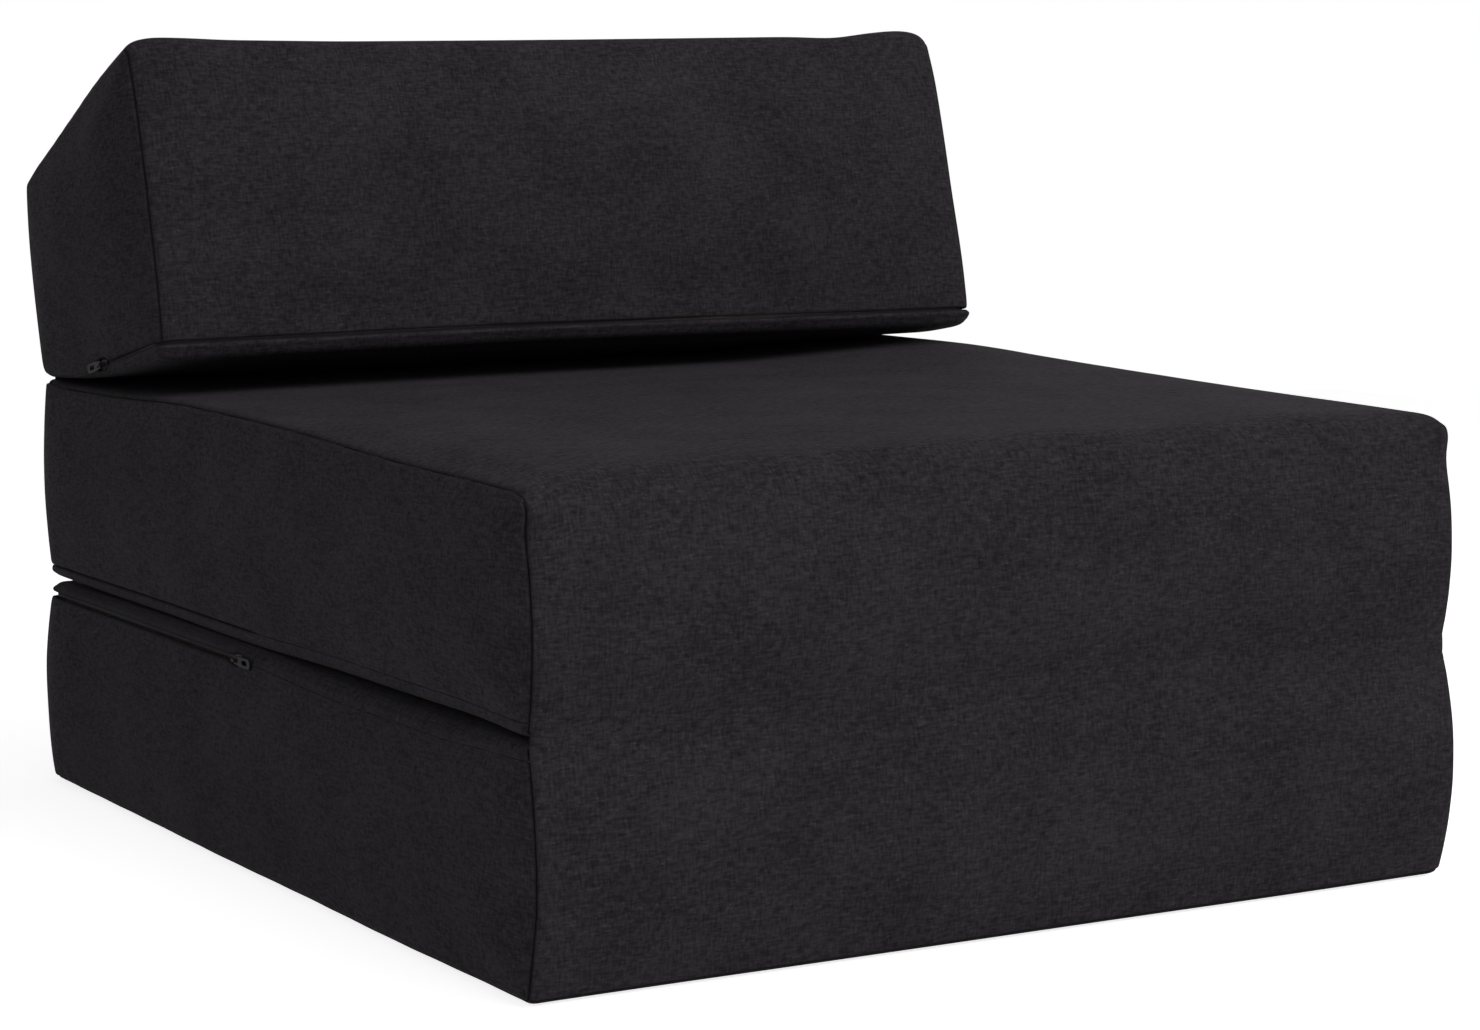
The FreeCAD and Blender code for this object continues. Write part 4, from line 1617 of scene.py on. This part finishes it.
def shifted(x: float, y: float, z: float) -> Grid:
    """A placement that only moves.

    Args:
        x: How far to the right.
        y: How far back.
        z: How far up.

    Returns:
        The 4 by 4 placement.
    """
    place = np.eye(4)
    place[:3, 3] = (x, y, z)
    return place


@dataclass
class Blocks:
    """The lower block and the seat, joined at the front by one continuous band of cloth."""

    shop: Workshop
    thickness: float = 160.0
    gap: float = 0.6
    front: float = 429.0
    zip_drop: float = 11.0
    fullness: float = 2.6
    fold_roll: float = 2.6
    base_bulges: tuple = (7.0, 5.5)
    seat_bulges: tuple = (2.5, 3.0)
    foot: float = 3.0
    sink: float = 4.4
    lift: float = 2.5
    rise: float = 11.5
    rear_rise: float = 3.2
    left_drop: float = 7.0
    right_drop: float = 2.0
    ear_reach: float = 7.5
    ear_rise: float = 3.0
    bridge: tuple = (0.2, 0.42, 0.58, 0.8)
    bridge_room: float = 6.0
    bridge_bow: float = 0.35
    bend_half: float = 0.6
    row_gap: float = 0.45
    zip_depth: float = 3.2
    base_run: float = 415.0
    seat_run: float = 433.0
    uneven: Waves = Waves(11, 210.0, 0.9)

    def outline(self, low: float, high: float, rounds: tuple, crowns: tuple) -> Outline:
        """Side view of a block, with its corners' radii and its sides' bulges."""
        corners = ((-self.front, low), (self.front, low), (self.front, high), (-self.front, high))
        return Outline(corners, rounds, crowns)

    def softened(self, points: Grid, low: float, fullness: float, front: float) -> Grid:
        """How a block's upright edges bulge and its level edges roll in at the fold.

        Args:
            points: Points in the row frame.
            low: The height of the block's underside.
            fullness: How far the rear edges bulge.
            front: How far the right front edge bulges.

        Returns:
            How far each point moves.
        """
        x, y, z = points[..., 0], points[..., 1], points[..., 2]
        share = np.clip((z - low) / self.thickness, 0.0, 1.0)
        arch = 4 * share * (1 - share)
        bulge = fullness * arch ** 1.5 * ease(np.abs(x), 240, 345) * ease(y, 320, 428)
        roll = self.fold_roll * (1 - ease(np.abs(z - self.thickness - self.gap / 2), 1.0, 8.0))
        moved = np.zeros(points.shape)
        moved[..., 0] = np.sign(x) * (0.55 * bulge - roll * ease(np.abs(x), 333, 346) * ease(
            y, -405, -375))
        moved[..., 0] += front * arch * ease(x, 240, 345) * ease(-y, 300, 420)
        moved[..., 1] = 0.8 * bulge - roll * ease(y, 414, 427)
        return moved

    def base_settle(self, points: Grid) -> Grid:
        """The lower block's upper side edges sink a little towards the front.

        Args:
            points: Points in the row frame, in millimetres.

        Returns:
            A shift for each point.
        """
        x, y, z = points[..., 0], points[..., 1], points[..., 2]
        hollow = ease(y, -415, -300) * (1 - ease(y, -150, 40))
        near = ease(np.abs(x), 312, 347) * ease(z, 118, 157)
        moved = self.softened(points, 0.0, *self.base_bulges)
        moved[..., 0] -= self.foot * ease(-x, 300, 345) * (1 - ease(z, 10, 70))
        moved[..., 2] = -self.sink * hollow * near
        return moved

    def seat_settle(self, points: Grid) -> Grid:
        """The seat's lower side edges lift, and its top is a little uneven to the right.

        Args:
            points: Points in the row frame, in millimetres.

        Returns:
            A shift for each point.
        """
        x, y, z = points[..., 0], points[..., 1], points[..., 2]
        hollow = ease(y, -415, -320) * (1 - ease(y, -180, 20))
        lower = ease(np.abs(x), 315, 347) * (1 - ease(z, 163, 205))
        high = ease(z, 250, 316)
        ahead = 1 - ease(y, 90, 290)
        drop = np.where(x < 0, self.left_drop, self.right_drop)
        nose = -drop * ease(-y, -40, 300) * ease(np.abs(x), 308, 345)
        rise = self.rise * ease(x, 120, 340) * ease(y, -220, 330) ** 1.3 * (1 - ease(y, 300, 360))
        rise += self.rear_rise * ease(np.abs(x), 295, 344) * ease(y, 385, 425)
        ear = ease(np.abs(x), 316, 344) * ease(-y, 398, 424) * ease(z, 282, 304)
        moved = self.softened(points, self.thickness, *self.seat_bulges)
        moved[..., 1] -= self.ear_reach * ear
        moved[..., 2] = self.lift * hollow * lower + self.ear_rise * ear + high * (
            nose + rise + ahead * (self.fullness + self.uneven.at(points)[..., 2]))
        return moved

    def build(self) -> None:
        """Make both blocks, their covers and the front band."""
        shop, zip_low = self.shop, self.thickness - self.zip_drop
        base = Cushion("base", self.outline(1.0, self.thickness - 1.5, (8.0, 8.0, 8.0, 3.0),
                                            (0.9, 6.0, 1.5, 7.5)),
                       shifted(0, 0, 0), lambda y: np.full(np.shape(y), zip_low),
                       zip_start=14.0, slider_span=(21.0, 36.0), low_run=147.0, high_run=12.0,
                       settle=self.base_settle, waves=Waves(3, 260.0, 0.8),
                       outward=(0.0, 2.0, 0.1, 0.4))
        seat = Cushion("seat", self.outline(1.5, self.thickness - 4.0, (3.0, 8.0, 8.0, 28.0),
                                            (1.5, 6.0, 4.0, 7.5)),
                       shifted(0, 0, self.thickness + self.gap),
                       lambda y: np.full(np.shape(y), self.zip_drop),
                       zip_start=-4.0, slider_span=(3.0, 18.0), low_run=12.0, high_run=147.0,
                       settle=self.seat_settle, waves=Waves(5, 280.0, 0.8),
                       outward=(0.1, 2.0, 0.25, 0.4), fall=2.0, opening=0.4, slider_side=1)
        shop.core(base)
        rear, low = base.rows_of(Side.ZIP), len(base.low)
        shop.cover("base", "bottom", [base.wrap_patch(base.rows_of(Side.BOTTOM), SEWN)])
        shop.cover("base", "rear", [base.wrap_patch(rear[:low], SEWN)])
        shop.ends(base, above=False)
        shop.lid(base, Side.TOP)
        shop.core(seat)
        rear, low = seat.rows_of(Side.ZIP), len(seat.low)
        shop.cover("seat", "rear", [seat.wrap_patch(rear[low:], SEWN)])
        shop.ends(seat, above=True)
        shop.lid(seat, Side.BOTTOM)
        self.band(base, seat)

    def band(self, base: Cushion, seat: Cushion) -> None:
        """One cloth over the seat's top, down its front and on down the lower block's front.

        Args:
            base: The lower block.
            seat: The seat.
        """
        fold = self.thickness + self.gap / 2
        upper_rows = np.concatenate([seat.rows_of(Side.TOP)[:-1], seat.rows_of(Side.PLAIN)])
        upper = seat.wrap_patch(upper_rows, (True, False, True, True))
        lower = base.wrap_patch(base.rows_of(Side.PLAIN), (False, True, True, True))
        middle = upper.points.shape[1] // 2
        keep_upper = self.spaced(upper.points[:, middle], lambda p: p[:, 2] > fold + self.bridge_room)
        keep_lower = self.spaced(lower.points[:, middle], lambda p: p[:, 2] < fold - self.bridge_room)
        first, second = upper.points[keep_upper][-1], lower.points[keep_lower][0]
        bridge = np.stack([first + (second - first) * share for share in self.bridge])
        bridge[..., 1] -= self.bridge_bow
        points = np.concatenate([upper.points[keep_upper], bridge, lower.points[keep_lower]])
        seam = np.concatenate([upper.seam[keep_upper],
                               np.repeat(upper.seam[keep_upper][-1:], len(bridge), axis=0),
                               lower.seam[keep_lower]])
        cloth = paired(seat.cs[None], arc_lengths(points[:, middle])[:, None])
        patch = Patch(points, grid_normals(points), cloth, SEWN, seam)
        made = sew("front_band_cover", [patch.hemmed(self.shop.hem)], self.shop.linen)
        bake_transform(made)
        stand_for(made, "upholstery", "seat_top_panel", "base_front_panel")

    def spaced(self, line: Grid, rule: Callable[[Grid], Grid]) -> Grid:
        """Rows that follow a rule and lie at least a little apart.

        Args:
            line: One point of each row.
            rule: Which rows may stay.

        Returns:
            A flag for each row.
        """
        keep = rule(line)
        last = None
        for number in np.flatnonzero(keep):
            if last is not None and np.linalg.norm(line[number] - line[last]) < self.row_gap:
                keep[number] = False
            else:
                last = number
        return keep


@dataclass
class Backrest:
    """The wedge that leans on the seat's rear edge, and its hinge strip."""

    shop: Workshop
    tilt: float = 8.0
    rear: float = 430.0
    level: float = 317.817
    depth: float = 265.0
    drop: float = 8.0
    top_depth: float = 239.5
    front_height: float = 236.5
    back_height: float = 154.5
    zip_rise: float = 6.0
    zip_pitch: float = 3.3
    zip_run: float = 131.0
    zip_depth: float = 2.4
    rim: float = 7.0
    hang: float = 4.2
    flare: float = 3.0
    tuck: float = 2.5
    lean: float = 3.0
    sag: float = 3.0
    dent: float = 1.6
    strip: float = 668.0
    strip_hem: float = 1.1
    strip_out: float = 0.9
    strip_back: float = 436.5
    strip_bend: tuple = (316.6, 328.6)
    strip_line: tuple = ((433.0, 291.4), (432.4, 298.6), (431.2, 307.0), (430.6, 313.8),
                         (430.8, 319.6), (432.4, 325.4), (434.3, 330.5), (436.6, 337.9),
                         (438.2, 344.9))
    strip_rows: int = 33
    strip_steps: tuple = (9.0, 0.8, 0.8)
    strip_waves: Waves = Waves(31, 45.0, 0.25)
    strip_calm: float = 12.0
    uneven: Waves = Waves(21, 170.0, 0.8)

    def place(self) -> Grid:
        """The wedge's own frame, which faces forward and leans back.

        Returns:
            Its placement in the row frame.
        """
        c, s = math.cos(math.radians(self.tilt)), math.sin(math.radians(self.tilt))
        return np.array([[-1, 0, 0, 0], [0, -c, s, self.rear], [0, s, c, self.level],
                         [0, 0, 0, 1]], float)

    def zip_front(self) -> float:
        """How far forward the zip lies in the wedge's own frame."""
        lean = (self.depth - self.top_depth) / (self.front_height + self.drop)
        return self.depth - (self.drop + self.zip_rise) * lean

    def settle(self, points: Grid) -> Grid:
        """Its top sags and rounds off at both ends, and its underside lies flatter there.

        Args:
            points: Points in the row frame, in millimetres.

        Returns:
            A shift for each point.
        """
        x, z = points[..., 0], points[..., 2]
        place = self.place()
        own = (points - place[:3, 3]) @ place[:3, :3]
        a, b = own[..., 1], own[..., 2]
        slope = self.back_height + (self.front_height - self.back_height) * a / self.top_depth
        rim = self.rim * np.clip((np.abs(x) - 312) / 31, 0.0, 1.2) ** 2 * ease(b - slope, -55, -4)
        rim *= ease(a, 30, 130)
        under = -np.minimum(b + self.drop * a / self.depth, 0.0)
        flat = under * (0.12 + np.where(x < 0, 0.38, 0.53) * ease(np.abs(x), 120, 330))
        hang = self.hang * ease(x, -100, 345) * (1 - ease(b, 12, 75)) * ease(a, 120, 215)
        rear = ease(-x, 200, 345) * (1 - ease(a, 0, 65))
        sag = ease(x, -345, -150) * (1 - ease(x, 230, 335))
        dent = np.exp(-((x - 262) / 26) ** 2)
        near = ease(z, 470, 575)
        moved = np.zeros(points.shape)
        moved[..., 0] = self.flare * ease(x, 250, 345) * (1 - ease(b, 10, 110)) - self.tuck * rear
        moved[..., 1] = self.uneven.at(points)[..., 1] * ease(z, 352, 420)
        moved[..., 1] += self.lean * ease(z, 350, 430) * rear
        moved[..., 2] = -(self.sag * sag + self.dent * dent) * near - rim + flat - hang
        return moved

    def build(self) -> None:
        """Make the wedge's foam, covers and hinge strip."""
        corners = ((0, 0), (self.depth, -self.drop), (self.top_depth, self.front_height),
                   (0, self.back_height))
        front, slope = self.zip_front(), math.tan(math.radians(self.zip_pitch))
        wedge = Cushion("backrest", Outline(corners, (4.0, 12.0, 12.0, 12.0), (10.0, 6.0, 6.0, 6.0)),
                        self.place(), lambda a: self.zip_rise - (front - a) * slope,
                        zip_start=front - self.zip_run, slider_span=(136.0, 152.0), low_run=14.0,
                        high_run=230.0, settle=self.settle, waves=Waves(8, 240.0, 0.6),
                        outward=(0.1, 2.5, 3.0, 1.0), edge=12.0, cap=63.0, half=351.0, crown=6.0,
                        opening=0.7, roll=1.5, slider_side=1)
        self.shop.core(wedge)
        rows = np.concatenate([wedge.rows_of(Side.ZIP)[len(wedge.low):-1],
                               wedge.rows_of(Side.TOP)[:-1], wedge.rows_of(Side.PLAIN)])
        self.shop.cover("backrest", "band", [wedge.wrap_patch(rows, SEWN)], "backrest_band")
        self.shop.ends(wedge, above=True, left=1)
        self.shop.lid(wedge, Side.BOTTOM, 1)
        self.hinge_strip()

    def hinge_strip(self) -> None:
        """The sewn strip over the fold between the seat's rear face and the wedge's back."""
        knots = np.array(self.strip_line)
        spots = np.arange(len(knots))
        fine = np.linspace(0, len(knots) - 1, self.strip_rows)
        line = np.column_stack([np.interp(fine, spots, knots[:, k]) for k in (0, 1)])
        x = self.strip / 2 - graded(self.strip, *self.strip_steps)
        points = np.empty((len(line), len(x), 3))
        points[..., 0] = x[None]
        points[..., 1] = line[:, None, 0] + self.strip_out
        points[..., 2] = line[:, None, 1]
        normals = grid_normals(points)
        normals *= np.sign(normals[len(line) // 2, len(x) // 2, 1])
        patch = Patch(points, normals, paired(x[None], run_along(points, 0)))
        patch.measure()
        patch.points = points + self.strip_waves.at(points) * ease(
            patch.seam, 0, self.strip_calm)[..., None]
        made = sew("backrest_hinge_strip", [patch.hemmed(self.strip_hem)], self.shop.linen)
        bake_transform(made)
        stand_for(made, "upholstery", "backrest_hinge_web")


def make_zips(shop: Workshop, blocks: Blocks, backrest: Backrest) -> None:
    """Make the coils and finish the rest of each zip.

    Args:
        shop: What they are made with.
        blocks: The two blocks, whose zips are level.
        backrest: The wedge, whose zip lies in its leaning frame.
    """
    base_level = blocks.thickness - blocks.zip_drop
    seat_level = blocks.thickness + blocks.gap + blocks.zip_drop
    tilted = np.eye(4)
    angle = math.radians(backrest.zip_pitch)
    c, s = math.cos(angle), math.sin(angle)
    tilted[1:3, 1:3] = [[c, -s], [s, c]]
    wedge_place = backrest.place() @ shifted(0, backrest.zip_front(), backrest.zip_rise) @ tilted
    for made in (Zip("base", shifted(0, blocks.front, base_level), blocks.base_run,
                     blocks.zip_depth),
                 Zip("seat", shifted(0, blocks.front, seat_level), blocks.seat_run,
                     blocks.zip_depth),
                 Zip("backrest", wedge_place, backrest.zip_run, backrest.zip_depth)):
        made.coil(shop.nylon)
        made.dress(shop.nodes, shop.tape, shop.metal)
        LOG.info("%s zip done", made.cushion)


# Stage


@dataclass(frozen=True)
class Lamp:
    """A square soft box that faces the object."""

    name: str
    spot: tuple
    size: float
    power: float
    aim: float = 0.25

    def build(self) -> None:
        """Put it into the scene."""
        data = bpy.data.lights.new(self.name, "AREA")
        data.shape = "SQUARE"
        data.size = self.size
        data.energy = self.power
        turn = facing(unit(np.array(self.spot) - (0.0, 0.0, self.aim)))
        put(self.name, data).matrix_world = set_at(self.spot, turn)


def facing(back: Grid) -> Grid:
    """Axes of a lamp or camera whose back points that way."""
    right = unit(np.cross((0.0, 0.0, 1.0), back))
    return np.column_stack([right, np.cross(back, right), back])


def set_at(spot: tuple, axes: Grid) -> Matrix:
    """The placement with that origin and those axes."""
    return Matrix.Translation(spot) @ Matrix(axes.tolist()).to_4x4()


@dataclass
class Stage:
    """Plain white floor, soft light and the camera."""

    spot: tuple = (-1.292, -2.407, 0.5585)
    yaw: float = 28.92
    pitch: float = 6.89
    roll: float = -0.73
    focal: float = 3781.0
    picture: float = 1480.0
    sensor: float = 36.0
    reach: float = 2600.0
    below: float = 0.2
    ambient: float = 0.08
    clip_end: float = 60.0
    lamps: tuple = (Lamp("key", (2.3, -2.6, 2.7), 2.2, 74.0),
                    Lamp("fill", (-3.0, -3.0, 1.6), 2.2, 41.0),
                    Lamp("low", (0.9, -4.0, 1.2), 2.2, 22.0),
                    Lamp("over", (0.2, -0.6, 3.4), 2.6, 25.0))

    def floor(self) -> None:
        """A large floor that looks white and keeps the object's soft shadow."""
        corners = [(x * self.reach, y * self.reach, -self.below)
                   for x, y in ((-1, -1), (1, -1), (1, 1), (-1, 1))]
        made = new_mesh("floor", np.array(corners), [[0, 1, 2, 3]])
        made.data.materials.append(FloorFinish().build())
        made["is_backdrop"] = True

    def world(self) -> None:
        """White behind the object, and an even grey light on it."""
        world = bpy.data.worlds.new("studio")
        world.use_nodes = True
        bpy.context.scene.world = world
        g = Graph(world.node_tree)
        light, white = (g.node("ShaderNodeBackground", None,
                               {"Color": tone(1.0, 1.0, 1.0), "Strength": strength})
                        for strength in (self.ambient, 1.0))
        shown = g.node("ShaderNodeMixShader", None, {0: g.seen(), 1: light, 2: white})
        g.node("ShaderNodeOutputWorld", None, {"Surface": shown})

    def camera(self) -> None:
        """The camera at the photograph's place and angle."""
        yaw, pitch, roll = (math.radians(a) for a in (self.yaw, self.pitch, self.roll))
        forward = np.array([math.sin(yaw) * math.cos(pitch), math.cos(yaw) * math.cos(pitch),
                            -math.sin(pitch)])
        axes = facing(-forward)
        right, up = axes[:, 0].copy(), axes[:, 1].copy()
        axes[:, 0] = math.cos(roll) * right + math.sin(roll) * up
        axes[:, 1] = math.cos(roll) * up - math.sin(roll) * right
        data = bpy.data.cameras.new("camera")
        data.sensor_fit = "HORIZONTAL"
        data.sensor_width = self.sensor
        data.lens = self.focal / self.picture * self.sensor
        data.clip_end = self.clip_end
        made = put("camera", data)
        made.matrix_world = set_at(self.spot, axes)
        bpy.context.scene.camera = made

    def build(self) -> None:
        """Set up floor, world, lamps and camera."""
        self.floor()
        self.world()
        for lamp in self.lamps:
            lamp.build()
        self.camera()
        bpy.context.scene.view_settings.view_transform = "Standard"


def main(frame: dict, before: tuple) -> None:
    """Build the chair bed over its frame.

    Args:
        before: The frame's box; not used.
    """
    logging.basicConfig(level=logging.INFO, format="%(name)s: %(message)s")
    shop = Workshop(frame["nodes"], LinenFinish().build(), FoamFinish().build(),
                    TapeFinish().build(), NylonFinish().build(), ZincFinish().build())
    blocks, backrest = Blocks(shop), Backrest(shop)
    blocks.build()
    backrest.build()
    make_zips(shop, blocks, backrest)
    Stage().build()


if __name__ == "__main__":
    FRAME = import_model()
    main(FRAME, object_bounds())
